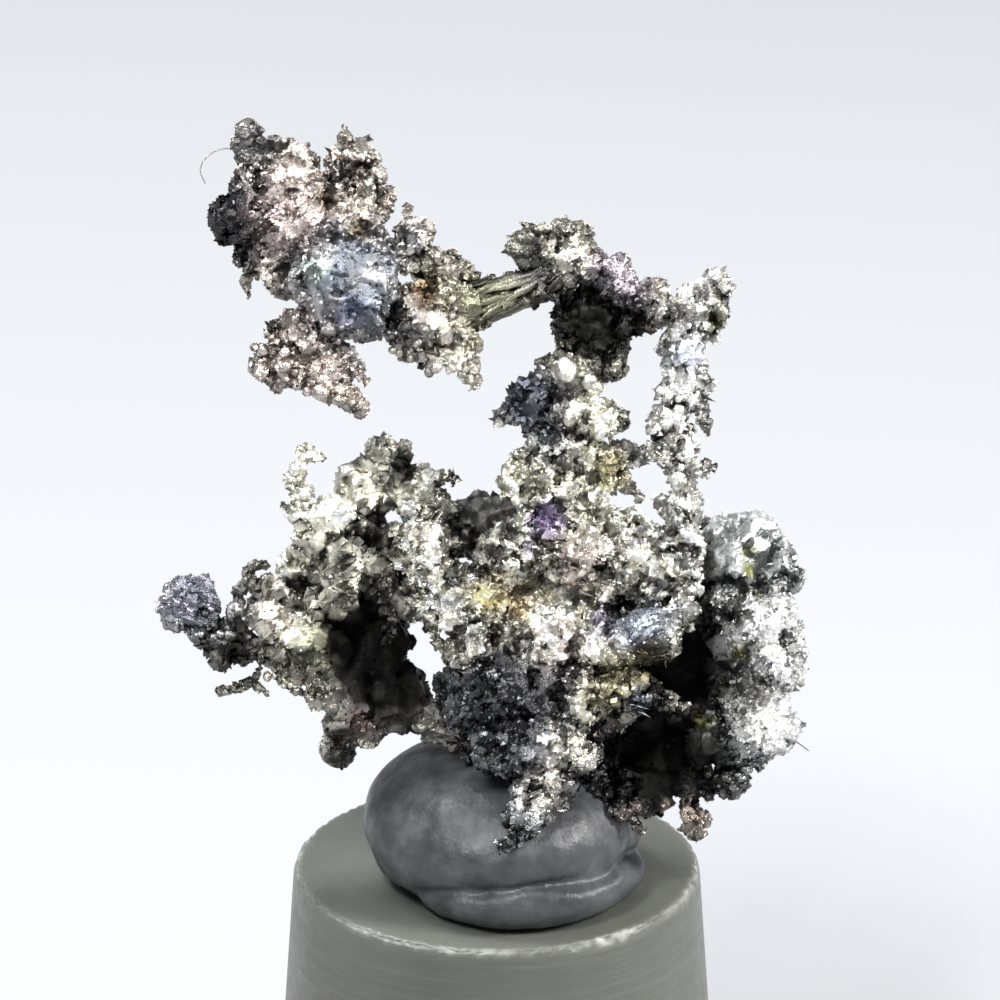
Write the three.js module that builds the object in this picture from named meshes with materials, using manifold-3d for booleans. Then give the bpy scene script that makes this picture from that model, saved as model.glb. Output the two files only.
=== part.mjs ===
// A specimen of native silver pressed into grey putty on a frosted peg.
// Millimetres, +Z up. The origin is the centre of the peg's flat underside.
// The silver grew as leafy, branching wire: a crown on an arch, two upright columns, a low spray and
// arm at the left, a sugary boss at the right and a dark keel that hangs in front of the putty.
import * as THREE from "three";
import { ImprovedNoise } from "three/addons/math/ImprovedNoise.js";
import { mergeVertices } from "three/addons/utils/BufferGeometryUtils.js";
import Module from "manifold-3d";

const wasm = await Module();
wasm.setup();

// Peg: a short frosted rod, a little wider at its foot.
const PEG_TOP_RADIUS = 6.2;
const PEG_FOOT_RADIUS = 6.95;
const PEG_HEIGHT = 11;
const PEG_BEVEL = 0.18;
const PEG_SIDES = 28;

// Putty: a ball pressed down on the peg, with a lip squeezed out in front.
const PUTTY_AT = [0.2, -0.85, 1.85];
const PUTTY_HALF = [4.25, 4.15, 2.5];
const LIP_AT = [0.35, -1.75, 1.1];
const LIP_HALF = [3.9, 3.5, 1.25];
const PUTTY_SIDES = 16;

// Silver: its own axes are across (right), up and near (to the front), and they lean back.
const LEAN_DEG = 67.5;
const SILVER_AT = [0.1, -0.36, PEG_HEIGHT + 12.2];
const GAP = 0.05;

// How uneven each surface is, as a share of its size, and how close its bumps lie.
const SILVER_UNEVEN = 0.22;
const PUTTY_UNEVEN = 0.03;
const LUMP_GRAIN = 1.7;
const LIMB_GRAIN = 1.3;
const PUTTY_GRAIN = 1.2;
const FINER_GRAIN = 2.3;

// A lump swells by this much before flat growth faces are cut from it, at these reaches from its middle.
const LUMP_SWELL = 1.08;
const GROWTH_FACES = 6;
const FACE_REACH = 0.86;
const FACE_REACH_SPREAD = 0.2;

// Half sizes that decide how many faces a lump or a limb is given.
const BIG_LUMP = 1.62;
const SMALL_LUMP = 0.99;
const THICK_LIMB = 0.38;

// Finish: colours of the silver, from bright to tarnished, and of its mounting.
const BRIGHT = 0xa8a396;
const TARNISHED = 0x3d3d40;
const SUGARY = 0xbdbab5;
const CREAM = 0xb8ab99;
const PUTTY_GREY = 0x54575c;
const FROSTED = 0x9ea399;
const SILVER_ROUGHNESS = 0.35;
const PUTTY_ROUGHNESS = 0.6;
const PEG_ROUGHNESS = 0.5;

const noise = new ImprovedNoise();
const random = THREE.MathUtils.seededRandom;

// A geometry with shared vertices only, so that it is one closed surface.
function closed(geometry) {
  geometry.deleteAttribute("normal");
  geometry.deleteAttribute("uv");
  return mergeVertices(geometry);
}

function eachPoint(geometry, change) {
  const place = geometry.getAttribute("position");
  const point = new THREE.Vector3();
  for (let i = 0; i < place.count; i++) {
    change(point.fromBufferAttribute(place, i));
    place.setXYZ(i, point.x, point.y, point.z);
  }
  return geometry;
}

// Noise from about -1 to 1, with half as much again at a finer grain.
function wobble(x, y, z) {
  const finer = noise.noise(FINER_GRAIN * x, FINER_GRAIN * y, FINER_GRAIN * z);
  return noise.noise(x, y, z) + 0.5 * finer;
}

function randomDirection() {
  const up = 2 * random() - 1;
  const angle = 2 * Math.PI * random();
  const side = Math.sqrt(1 - up * up);
  return new THREE.Vector3(side * Math.cos(angle), side * Math.sin(angle), up);
}

// The blocky ball a lump starts from: the bigger the lump, the more faces it has.
function seedCrystal(widest) {
  if (widest > BIG_LUMP) return closed(new THREE.IcosahedronGeometry(1, 1));
  if (widest > SMALL_LUMP) return closed(new THREE.DodecahedronGeometry(1, 0));
  return closed(new THREE.IcosahedronGeometry(1, 0));
}

// A whole number that differs from place to place, so that each lump is cut in its own way.
function seedAt([across, up, near]) {
  return 1 + Math.round(100 * Math.abs(7 * across + 13 * up + 29 * near));
}

// The makers below return a function of grow, the extra size that keeps a neighbour clear of the piece.

// A nugget or, with one small half size, a leaf: an uneven ball with flat growth faces.
function lump(at, half, turn = 0) {
  return (grow) => {
    random(seedAt(at));
    const planes = Array.from({ length: GROWTH_FACES }, () => ({
      normal: randomDirection(),
      reach: FACE_REACH + FACE_REACH_SPREAD * random(),
    }));
    const size = new THREE.Vector3(...half).addScalar(grow);
    const spin = new THREE.Euler(0, 0, THREE.MathUtils.degToRad(turn));
    const centre = new THREE.Vector3(...at);
    return eachPoint(seedCrystal(Math.max(...half)), (p) => {
      const { x, y, z } = p.clone().multiplyScalar(LUMP_GRAIN).add(centre);
      p.multiplyScalar(LUMP_SWELL + SILVER_UNEVEN * wobble(x, y, z));
      for (const { normal, reach } of planes) p.addScaledVector(normal, -Math.max(0, p.dot(normal) - reach));
      p.multiply(size).applyEuler(spin).add(centre);
    });
  };
}

// A branch along a curve: radii are half widths seen from the front, and depth is its thickness over that.
function limb(points, radii, { depth = 1, twist = 0 } = {}) {
  const sides = Math.max(...radii) > THICK_LIMB ? 4 : 3;
  const steps = points.length - 1;
  return (grow) => {
    const curve = new THREE.CatmullRomCurve3(points.map((p) => new THREE.Vector3(...p)));
    const shape = closed(new THREE.CylinderGeometry(1, 1, 1, sides, steps));
    const near = new THREE.Vector3(0, 0, 1);
    return eachPoint(shape, (p) => {
      const t = Math.round((p.y + 0.5) * steps) / steps;
      const centre = curve.getPoint(t);
      const along = curve.getTangent(t);
      const wide = along.clone().cross(near).normalize();
      const deep = wide.clone().cross(along);
      const turn = THREE.MathUtils.degToRad(twist * t);
      const place = t * (radii.length - 1);
      const before = Math.min(Math.floor(place), radii.length - 2);
      const radius = THREE.MathUtils.lerp(radii[before], radii[before + 1], place - before);
      const grain = centre.clone().multiplyScalar(LIMB_GRAIN);
      const swell = 1 + SILVER_UNEVEN * wobble(grain.x + p.x, grain.y + p.z, grain.z);
      const right = (p.x * Math.cos(turn) - p.z * Math.sin(turn) * depth) * (radius * swell + grow);
      const front = (p.x * Math.sin(turn) + p.z * Math.cos(turn) * depth) * (radius * swell + grow);
      const atEnd = Math.abs(p.y) > 0.49;
      const past = atEnd ? grow * Math.sign(p.y) : 0;
      p.copy(centre).addScaledVector(wide, right).addScaledVector(deep, front).addScaledVector(along, past);
    });
  };
}

// A manifold-3d solid from a closed geometry.
function solidOf(geometry) {
  return new wasm.Manifold(
    new wasm.Mesh({
      numProp: 3,
      vertProperties: new Float32Array(geometry.getAttribute("position").array),
      triVerts: new Uint32Array(geometry.index.array),
    }),
  );
}

function fuse(makers, grow = 0, matrix = new THREE.Matrix4()) {
  return makers
    .map((make) => solidOf(make(grow).applyMatrix4(matrix)))
    .reduce((joined, next) => joined.add(next));
}

function meshOf(name, solid, material) {
  const { numProp, vertProperties, triVerts } = solid.getMesh();
  const position = new Float32Array((vertProperties.length / numProp) * 3);
  for (let i = 0; i < position.length / 3; i++)
    position.set(vertProperties.subarray(i * numProp, i * numProp + 3), i * 3);
  const geometry = new THREE.BufferGeometry();
  geometry.setAttribute("position", new THREE.BufferAttribute(position, 3));
  geometry.setIndex(new THREE.BufferAttribute(triVerts, 1));
  const mesh = new THREE.Mesh(geometry, material);
  mesh.name = name;
  return mesh;
}

// The branches of the silver. Each number is a real size along across, up and near.

const body = [
  lump([1.2, -3.0, -2.0], [2.5, 2.1, 1.9]),
  lump([3.5, -1.3, -2.5], [1.3, 1.1, 0.8]),
  lump([-2.1, -1.8, -0.6], [0.95, 1.35, 0.8], 20),
  lump([-2.25, -0.35, -1.1], [0.62, 0.6, 0.5]),
  lump([-2.1, 0.35, -1.5], [0.5, 0.5, 0.4]),
  lump([-2.35, -3.15, -0.5], [0.65, 0.65, 0.5]),
  lump([-0.9, -3.0, -0.5], [1.25, 1.15, 1.0]),
  lump([-0.4, -0.8, -2.6], [1.5, 1.1, 0.9]),
  lump([0.4, -1.6, -0.1], [1.1, 0.85, 0.9]),
  lump([2.5, -1.9, -0.1], [1.1, 0.75, 0.8]),
  lump([4.0, -1.9, -0.1], [1.15, 0.55, 0.75]),
  lump([4.0, -2.9, -0.2], [1.15, 0.48, 0.7]),
  lump([3.0, -4.2, 0.0], [1.3, 1.05, 1.0]),
  lump([1.35, -4.2, 0.1], [1.2, 1.05, 1.0]),
  lump([4.4, -4.05, 0.4], [1.25, 0.85, 0.6], 15),
  lump([3.4, -5.7, 0.0], [1.4, 0.8, 0.9]),
  lump([4.8, -6.15, -0.1], [0.85, 0.4, 0.5]),
  lump([-0.6, -4.4, -0.4], [1.1, 1.05, 0.9]),
  limb([[-2.1, -3.4, -0.4], [-1.95, -4.0, -0.3], [-1.75, -4.6, -0.25]], [0.34, 0.24, 0.06]),
  limb([[0.0, -1.5, -0.6], [-0.9, -0.85, -0.9], [-1.55, -0.25, -0.9]], [0.28, 0.26, 0.3]),
];

const keel = [
  lump([0.6, -6.0, 0.3], [1.75, 1.25, 1.0]),
  lump([-1.05, -6.1, -0.5], [0.85, 1.05, 0.85]),
  lump([0.9, -7.3, 0.3], [1.65, 0.95, 0.9]),
  lump([2.25, -7.6, 0.4], [0.8, 0.75, 0.65]),
  lump([1.35, -8.6, 0.4], [1.05, 0.7, 0.6]),
  lump([0.85, -9.5, 0.6], [0.72, 0.55, 0.42]),
  lump([2.4, -6.4, -0.3], [1.1, 0.9, 0.8]),
  limb([[0.8, -9.6, 0.6], [0.45, -10.0, 0.65], [-0.05, -10.5, 0.6]], [0.4, 0.24, 0.06]),
  lump([0.9, -7.6, -2.0], [1.7, 1.7, 2.0]),
];

const boss = [
  lump([5.4, -4.6, -2.7], [1.4, 1.9, 1.0]),
  lump([6.0, -1.4, -2.9], [1.25, 0.95, 0.9]),
  lump([7.2, -1.7, -2.2], [1.55, 1.25, 1.3]),
  lump([7.4, -3.9, -1.6], [1.55, 1.5, 1.4]),
  lump([8.3, -4.6, -0.8], [0.78, 1.9, 1.0]),
  lump([8.6, -2.3, -1.4], [0.5, 0.75, 0.7]),
  lump([7.35, -6.7, -1.2], [1.5, 1.5, 1.3]),
  lump([6.7, -8.5, -1.4], [0.85, 0.55, 0.7]),
  lump([6.1, -7.2, -0.7], [0.55, 1.0, 0.7]),
  lump([4.9, -7.7, -2.4], [1.6, 1.25, 1.1]),
  lump([3.1, -7.6, -2.2], [1.1, 1.0, 0.9]),
  limb([[5.9, -8.1, -1.6], [5.8, -8.9, -1.2], [5.8, -9.4, -1.2]], [0.5, 0.28, 0.4]),
  lump([5.8, -9.65, -1.2], [0.45, 0.62, 0.4]),
  limb([[2.9, -8.2, -1.9], [3.6, -9.3, -1.3], [4.3, -9.9, -1.2]], [0.6, 0.32, 0.14]),
];

const centreColumn = [
  lump([2.7, 4.7, -0.5], [1.0, 1.05, 0.8]),
  lump([2.35, 3.6, 0.0], [0.9, 0.9, 0.75]),
  lump([3.35, 4.0, -0.3], [0.5, 0.6, 0.45]),
  lump([2.45, 2.4, 0.1], [1.05, 0.85, 0.8]),
  limb([[2.9, 2.6, 0.0], [3.4, 2.45, 0.1], [3.8, 2.4, 0.1]], [0.55, 0.35, 0.08]),
  lump([1.95, 1.35, 0.0], [1.4, 0.75, 0.85]),
  lump([0.6, 0.6, 0.0], [0.6, 0.9, 0.55]),
  lump([2.0, 0.15, 0.0], [1.25, 0.95, 0.9]),
  lump([3.1, 0.9, -0.2], [0.62, 0.75, 0.55]),
  limb([[3.4, 0.75, -0.1], [3.9, 0.4, 0.0], [4.3, 0.0, 0.0]], [0.34, 0.22, 0.07]),
  lump([1.8, -0.8, 0.1], [1.4, 0.85, 0.95]),
  limb(
    [[1.5, 4.3, -0.4], [1.25, 3.5, -0.2], [1.1, 2.7, 0.0], [0.9, 1.9, 0.0]],
    [0.3, 0.55, 0.6, 0.25],
    { depth: 0.6 },
  ),
  limb(
    [[1.2, 3.5, -0.2], [0.7, 3.0, -0.1], [0.25, 2.65, 0.0], [-0.15, 2.6, 0.0]],
    [0.45, 0.55, 0.35, 0.06],
    { depth: 0.55 },
  ),
];

const arch = [
  limb(
    [[-1.5, 5.75, 0.1], [-0.5, 5.95, 0.2], [0.7, 6.3, 0.1], [2.0, 6.9, 0.0]],
    [0.95, 0.85, 0.6, 0.55],
    { depth: 0.45, twist: 35 },
  ),
  lump([1.15, 7.55, 0.0], [0.85, 0.68, 0.7]),
  lump([2.15, 7.75, -0.1], [0.75, 0.6, 0.7]),
  lump([2.35, 7.05, 0.2], [0.95, 0.7, 0.75]),
  lump([3.25, 6.65, 0.1], [0.8, 0.75, 0.75]),
  lump([4.15, 6.1, 0.1], [0.75, 0.48, 0.55]),
  lump([3.0, 5.85, -0.5], [1.15, 0.8, 0.75]),
  lump([3.95, 5.4, -0.2], [0.5, 0.5, 0.5]),
];

const crown = [
  lump([-6.3, 8.55, 0.2], [1.9, 1.75, 1.4]),
  lump([-6.7, 9.9, -0.1], [1.25, 0.85, 0.85]),
  lump([-7.5, 10.75, -0.4], [0.52, 0.65, 0.5]),
  lump([-8.0, 8.5, -0.2], [0.75, 0.92, 0.75]),
  lump([-7.25, 7.3, 0.0], [0.8, 0.62, 0.7]),
  lump([-6.5, 6.6, 0.3], [0.7, 0.48, 0.5]),
  lump([-4.4, 10.15, -0.4], [0.85, 0.85, 0.6]),
  limb([[-4.55, 10.5, -0.4], [-4.65, 10.9, -0.4], [-4.78, 11.22, -0.4]], [0.34, 0.2, 0.06]),
  lump([-4.1, 8.95, -0.2], [0.95, 1.05, 0.8]),
  limb([[-3.8, 9.1, -0.2], [-3.4, 9.05, -0.2], [-3.1, 9.0, -0.2]], [0.34, 0.2, 0.05]),
  lump([-4.8, 7.95, 0.3], [1.5, 1.2, 1.1]),
  lump([-4.5, 6.3, 1.3], [1.65, 1.45, 1.2]),
  lump([-3.3, 7.4, 0.1], [0.8, 0.8, 0.7]),
  lump([-2.6, 7.6, 0.0], [0.75, 0.8, 0.7]),
  lump([-1.85, 6.8, 0.0], [0.8, 0.9, 0.6]),
  lump([-2.4, 5.45, 0.3], [1.35, 0.98, 0.8]),
  lump([-2.35, 4.65, 0.2], [0.95, 0.6, 0.45]),
  limb(
    [[-1.35, 7.2, 0.1], [-1.45, 5.8, 0.4], [-1.35, 4.6, 0.4], [-0.68, 3.3, 0.2]],
    [0.25, 0.48, 0.6, 0.05],
    { depth: 0.45 },
  ),
  lump([-6.0, 4.95, 1.1], [1.0, 1.0, 0.7]),
  lump([-6.3, 4.05, 1.1], [1.1, 0.7, 0.6]),
  lump([-5.25, 3.75, 1.1], [0.85, 0.65, 0.5]),
  limb(
    [[-5.3, 3.6, 1.1], [-4.65, 3.05, 1.1], [-4.25, 2.95, 1.1], [-4.15, 2.55, 1.1]],
    [0.45, 0.34, 0.22, 0.12],
  ),
  limb([[-5.2, 4.7, 1.0], [-4.5, 4.05, 0.9], [-4.0, 3.55, 0.9]], [0.4, 0.3, 0.12]),
  limb([[-6.7, 4.35, 1.2], [-7.1, 4.5, 1.2], [-7.45, 4.68, 1.2]], [0.3, 0.16, 0.05]),
];

const rightColumn = [
  lump([6.0, 5.8, 0.0], [0.8, 0.8, 0.6]),
  lump([6.5, 6.35, 0.0], [0.5, 0.5, 0.42]),
  lump([5.05, 5.8, 0.0], [0.75, 0.5, 0.5]),
  lump([5.5, 4.6, 0.1], [0.82, 0.92, 0.6]),
  lump([6.35, 5.2, -0.1], [0.36, 0.48, 0.35]),
  lump([5.45, 3.3, 0.0], [0.65, 0.88, 0.52]),
  lump([5.2, 2.15, 0.0], [0.62, 0.78, 0.48]),
  lump([4.7, 2.2, 0.0], [0.32, 0.38, 0.3]),
  limb([[5.7, 3.0, 0.1], [6.05, 2.55, 0.1], [6.27, 1.92, 0.1]], [0.32, 0.22, 0.05]),
  lump([5.4, 1.05, 0.0], [0.62, 0.88, 0.48]),
  limb([[5.5, 0.85, 0.0], [6.05, 0.9, 0.1], [6.38, 1.02, 0.1]], [0.32, 0.22, 0.09]),
  lump([5.4, -0.3, 0.0], [0.68, 0.92, 0.52]),
  lump([5.45, -1.5, 0.0], [0.72, 0.95, 0.55]),
  lump([4.75, -1.05, 0.0], [0.45, 0.36, 0.35]),
  limb([[5.6, -1.9, 0.0], [5.65, -2.7, 0.1], [5.5, -3.4, 0.2]], [0.45, 0.33, 0.1]),
  limb([[5.0, 1.5, 0.0], [4.4, 1.55, -0.1], [3.75, 1.4, -0.2]], [0.34, 0.3, 0.3]),
];

const leftArm = [
  lump([-4.0, -4.3, -2.4], [1.35, 1.55, 1.0]),
  lump([-3.1, -6.05, -2.6], [1.2, 1.1, 1.0]),
  lump([-4.3, -6.8, -2.6], [0.95, 0.68, 0.7]),
  lump([-4.95, -7.5, -2.8], [0.48, 0.56, 0.42]),
  lump([-1.8, -6.7, -2.1], [1.0, 0.65, 0.8]),
  lump([-9.3, -3.2, -1.2], [0.98, 0.95, 0.85]),
  lump([-8.15, -4.3, -1.5], [1.05, 0.75, 0.6]),
  lump([-7.75, -3.5, -1.2], [0.45, 0.4, 0.38]),
  lump([-6.5, -3.2, -1.6], [1.0, 0.72, 0.62]),
  lump([-6.2, -2.5, -1.9], [0.9, 0.6, 0.55]),
  lump([-6.3, -4.2, -1.4], [1.25, 1.02, 0.75]),
  lump([-5.1, -4.4, -1.7], [0.8, 1.1, 0.65]),
  lump([-5.4, -4.5, -1.0], [0.42, 1.05, 0.42]),
  lump([-5.3, -5.8, -1.4], [0.65, 0.7, 0.5]),
  limb(
    [[-7.35, -4.35, -1.1], [-7.17, -4.95, -0.9], [-7.5, -5.5, -0.9], [-6.95, -5.8, -1.0]],
    [0.2, 0.19, 0.24, 0.16],
  ),
  limb([[-6.85, -5.3, -1.1], [-6.25, -5.7, -1.0], [-5.3, -6.1, -1.1]], [0.2, 0.2, 0.18]),
  limb(
    [[-6.7, -2.8, -1.7], [-7.5, -2.5, -1.5], [-7.6, -2.05, -1.5], [-7.0, -1.9, -1.5]],
    [0.4, 0.26, 0.16, 0.08],
  ),
  limb([[-7.4, -5.4, -1.0], [-7.9, -5.7, -1.1], [-8.5, -5.75, -1.1]], [0.24, 0.28, 0.16]),
];

const spray = [
  lump([-3.9, -1.4, -1.8], [1.2, 1.0, 0.65]),
  lump([-3.6, 0.45, -1.6], [0.8, 1.1, 0.5], -15),
  lump([-4.3, 0.5, -1.5], [0.6, 0.6, 0.45], -30),
  lump([-3.5, 1.45, -1.7], [0.45, 0.42, 0.35]),
  lump([-2.85, 1.05, -2.0], [0.36, 0.85, 0.4]),
  lump([-4.6, -0.2, -1.2], [1.05, 0.6, 0.55], 25),
  lump([-5.35, -0.9, -0.8], [0.98, 0.85, 0.55]),
  lump([-4.65, -2.15, -0.6], [0.75, 0.95, 0.5]),
  lump([-4.65, -3.0, -0.5], [0.52, 0.42, 0.38]),
  limb([[-5.2, -1.5, -0.7], [-6.1, -1.6, -0.7], [-6.65, -2.25, -0.7]], [0.4, 0.36, 0.16]),
  lump([-3.6, -2.3, -0.9], [0.6, 0.85, 0.45]),
  limb([[-3.5, -2.7, -0.8], [-3.25, -3.6, -0.7], [-3.4, -4.3, -0.7]], [0.36, 0.28, 0.12]),
  limb(
    [
      [-5.9, -0.8, -0.7], [-6.25, -0.15, -0.6], [-6.0, 0.3, -0.6],
      [-6.32, 0.65, -0.6], [-6.0, 1.0, -0.6], [-5.82, 1.6, -0.6],
    ],
    [0.4, 0.36, 0.32, 0.28, 0.16, 0.18],
  ),
];

// The branches in the order they are cut, each clear of those it meets before it.
const branches = [
  { name: "body", makers: body, colour: BRIGHT, meets: [] },
  { name: "keel", makers: keel, colour: TARNISHED, meets: [body] },
  { name: "right_boss", makers: boss, colour: SUGARY, meets: [body, keel] },
  { name: "left_arm", makers: leftArm, colour: TARNISHED, meets: [body, keel] },
  { name: "left_spray", makers: spray, colour: CREAM, meets: [body, leftArm] },
  { name: "centre_column", makers: centreColumn, colour: BRIGHT, meets: [body] },
  { name: "arch", makers: arch, colour: BRIGHT, meets: [centreColumn] },
  { name: "right_column", makers: rightColumn, colour: SUGARY, meets: [arch, centreColumn, body, boss] },
  { name: "crown", makers: crown, colour: CREAM, meets: [arch] },
];

const specimen = new THREE.Group();
specimen.rotation.x = THREE.MathUtils.degToRad(LEAN_DEG);
specimen.position.set(...SILVER_AT);
specimen.updateMatrix();
for (const { name, makers, colour, meets } of branches) {
  const solid = meets.reduce((cut, neighbour) => cut.subtract(fuse(neighbour, GAP)), fuse(makers));
  const metal = new THREE.MeshStandardMaterial({ color: colour, metalness: 1, roughness: SILVER_ROUGHNESS });
  specimen.add(meshOf(name, solid, metal));
}

// A pressed ball in the peg's frame, flat where it lies on the peg.
function pressed(at, half) {
  const shape = closed(new THREE.SphereGeometry(1, PUTTY_SIDES, PUTTY_SIDES / 2));
  return eachPoint(shape, (p) => {
    const { x, y, z } = p.clone().multiplyScalar(PUTTY_GRAIN);
    p.multiplyScalar(1 + PUTTY_UNEVEN * wobble(x + at[0], y, z));
    p.multiply(new THREE.Vector3(...half)).add(new THREE.Vector3(...at));
    p.z = Math.max(p.z, 0) + PEG_HEIGHT + GAP;
  });
}

function makePutty() {
  const ball = solidOf(pressed(PUTTY_AT, PUTTY_HALF));
  const lip = solidOf(pressed(LIP_AT, LIP_HALF));
  const joined = ball.add(lip);
  const free = branches.reduce((cut, { makers }) => cut.subtract(fuse(makers, GAP, specimen.matrix)), joined);
  const material = new THREE.MeshStandardMaterial({
    color: PUTTY_GREY, metalness: 0, roughness: PUTTY_ROUGHNESS,
  });
  return meshOf("putty", free, material);
}

function makePeg() {
  const profile = [
    [0, 0],
    [PEG_FOOT_RADIUS - PEG_BEVEL, 0],
    [PEG_FOOT_RADIUS, PEG_BEVEL],
    [PEG_TOP_RADIUS, PEG_HEIGHT - PEG_BEVEL],
    [PEG_TOP_RADIUS - PEG_BEVEL, PEG_HEIGHT],
    [0, PEG_HEIGHT],
  ].map(([radius, height]) => new THREE.Vector2(radius, height));
  const geometry = new THREE.LatheGeometry(profile, PEG_SIDES);
  const material = new THREE.MeshStandardMaterial({ color: FROSTED, metalness: 0, roughness: PEG_ROUGHNESS });
  const peg = new THREE.Mesh(geometry, material);
  peg.name = "peg";
  peg.rotation.x = Math.PI / 2;
  return peg;
}

const part = new THREE.Group();
part.add(specimen, makePutty(), makePeg());

export default part;
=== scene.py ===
"""A native silver specimen, pressed into a ball of grey putty on a frosted peg.

Each branch of silver is a skin of small flat crystal faces with thousands of separate crystals grown
on it: beads, blocks, leaves, needles and sugar-fine grains. The putty and the peg are detailed forms in
the places of their solids.
"""

import math

import bpy
import numpy as np
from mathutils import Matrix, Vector, kdtree, noise


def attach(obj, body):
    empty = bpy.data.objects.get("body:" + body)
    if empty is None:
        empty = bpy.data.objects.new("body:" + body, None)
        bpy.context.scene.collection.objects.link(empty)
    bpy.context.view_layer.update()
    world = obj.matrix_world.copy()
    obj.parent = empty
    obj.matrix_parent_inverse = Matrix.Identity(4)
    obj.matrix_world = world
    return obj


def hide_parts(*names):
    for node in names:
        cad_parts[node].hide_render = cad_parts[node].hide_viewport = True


MM = 0.001
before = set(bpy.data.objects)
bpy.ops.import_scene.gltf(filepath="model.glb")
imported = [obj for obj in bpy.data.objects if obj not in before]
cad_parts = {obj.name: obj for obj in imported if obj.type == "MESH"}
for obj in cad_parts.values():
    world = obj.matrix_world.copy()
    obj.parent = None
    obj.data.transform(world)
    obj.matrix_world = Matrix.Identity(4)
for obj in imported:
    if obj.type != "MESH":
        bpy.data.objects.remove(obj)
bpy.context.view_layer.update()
rng = np.random.default_rng(47)

# The silver's own axes are across, up and near, in mm. They lean back by this angle about X.
LEAN = math.radians(67.5)
SILVER_AT = np.array([0.1, -0.36, 23.2])
LEAN_MATRIX = np.array([
    [1, 0, 0],
    [0, math.cos(LEAN), -math.sin(LEAN)],
    [0, math.sin(LEAN), math.cos(LEAN)],
])

PEG_HEIGHT = 11.0
PEG_TOP_RADIUS = 6.2
PEG_FOOT_RADIUS = 6.95

# The cells that the skins are remeshed in, in mm, and about how many triangles a cell of skin makes
SILVER_VOXEL = 0.08
PUTTY_VOXEL = 0.12
TRIANGLES_PER_CELL = 2.4

# About the most triangles in a branch's bare skin and in the branch with its crystals
SKIN_TRIANGLES = 90000
PIECE_TRIANGLES = 165000


def to_part(points):
    """Silver axes to the part's own axes, in mm."""
    return np.asarray(points, float) @ LEAN_MATRIX.T + SILVER_AT


def to_silver(points):
    """The part's own axes to silver axes, in mm."""
    return (points - SILVER_AT) @ LEAN_MATRIX


# Meshes as arrays: (vertices in mm, triangles)


def unit(vectors):
    return vectors / np.maximum(np.linalg.norm(vectors, axis=1, keepdims=True), 1e-12)


def joined(parts):
    """One (vertices, faces) pair from several."""
    starts = np.cumsum([0] + [len(v) for v, _ in parts[:-1]])
    return (
        np.concatenate([v for v, _ in parts]),
        np.concatenate([f + start for (_, f), start in zip(parts, starts)]),
    )


def mesh_object(name, verts, faces, smooth=False):
    """A Blender object from arrays, with the vertices taken as they are."""
    mesh = bpy.data.meshes.new(name)
    mesh.vertices.add(len(verts))
    mesh.vertices.foreach_set("co", np.asarray(verts, np.float32).ravel())
    mesh.loops.add(faces.size)
    mesh.loops.foreach_set("vertex_index", faces.astype(np.int32).ravel())
    mesh.polygons.add(len(faces))
    mesh.polygons.foreach_set("loop_start", np.arange(0, faces.size, faces.shape[1], dtype=np.int32))
    mesh.update(calc_edges=True)
    if smooth:
        mesh.shade_smooth()
    else:
        mesh.shade_flat()
    obj = bpy.data.objects.new(name, mesh)
    bpy.context.scene.collection.objects.link(obj)
    return obj


def arrays_of(mesh, scale=1.0):
    """(vertices, triangles) of a Blender mesh."""
    mesh.calc_loop_triangles()
    verts = np.empty(len(mesh.vertices) * 3, np.float32)
    mesh.vertices.foreach_get("co", verts)
    faces = np.empty(len(mesh.loop_triangles) * 3, np.int32)
    mesh.loop_triangles.foreach_get("vertices", faces)
    return verts.reshape(-1, 3).astype(float) * scale, faces.reshape(-1, 3)


def remeshed(verts, faces, voxel, smoothings):
    """A single even skin round closed shells that may overlap."""
    obj = mesh_object("work", verts, faces)
    skin = obj.modifiers.new("skin", "REMESH")
    skin.mode = "VOXEL"
    skin.voxel_size = voxel
    soft = obj.modifiers.new("soft", "SMOOTH")
    soft.factor = 0.5
    soft.iterations = smoothings
    bpy.context.view_layer.update()
    evaluated = obj.evaluated_get(bpy.context.evaluated_depsgraph_get())
    result = arrays_of(evaluated.to_mesh())
    evaluated.to_mesh_clear()
    bpy.data.objects.remove(obj)
    return result


def corner_vectors(verts, faces):
    """The first corner of each triangle and its two edges from there."""
    a, b, c = (verts[faces[:, i]] for i in range(3))
    return a, b - a, c - a


def area_of(verts, faces):
    _, ab, ac = corner_vectors(verts, faces)
    return 0.5 * np.linalg.norm(np.cross(ab, ac), axis=1).sum()


def normals_of(verts, faces):
    """Unit vertex normals, weighted by face area."""
    _, ab, ac = corner_vectors(verts, faces)
    face = np.cross(ab, ac)
    total = np.zeros_like(verts)
    for i in range(3):
        np.add.at(total, faces[:, i], face)
    return unit(total)


def tube(points, radii):
    """A closed twig through points in the part's axes, with one radius for each point."""
    sides = 7
    points = np.asarray(points, float)
    along = unit(np.gradient(points, axis=0))
    wide = unit(np.cross(along, [0.13, -0.92, 0.38]))
    deep = np.cross(wide, along)
    angles = np.arange(sides) * 2 * math.pi / sides
    rings = [
        p + r * (np.cos(angles)[:, None] * w + np.sin(angles)[:, None] * d)
        for p, r, w, d in zip(points, radii, wide, deep)
    ]
    verts = np.concatenate([points[:1], *rings, points[-1:]])
    faces = []
    for i in range(len(points) - 1):
        for j in range(sides):
            a, b = 1 + i * sides + j, 1 + i * sides + (j + 1) % sides
            faces += [[a, b, a + sides], [b, b + sides, a + sides]]
    last = 1 + (len(points) - 1) * sides
    for j in range(sides):
        faces += [[0, 1 + (j + 1) % sides, 1 + j], [last + j, last + (j + 1) % sides, len(verts) - 1]]
    return verts, np.array(faces)


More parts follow.
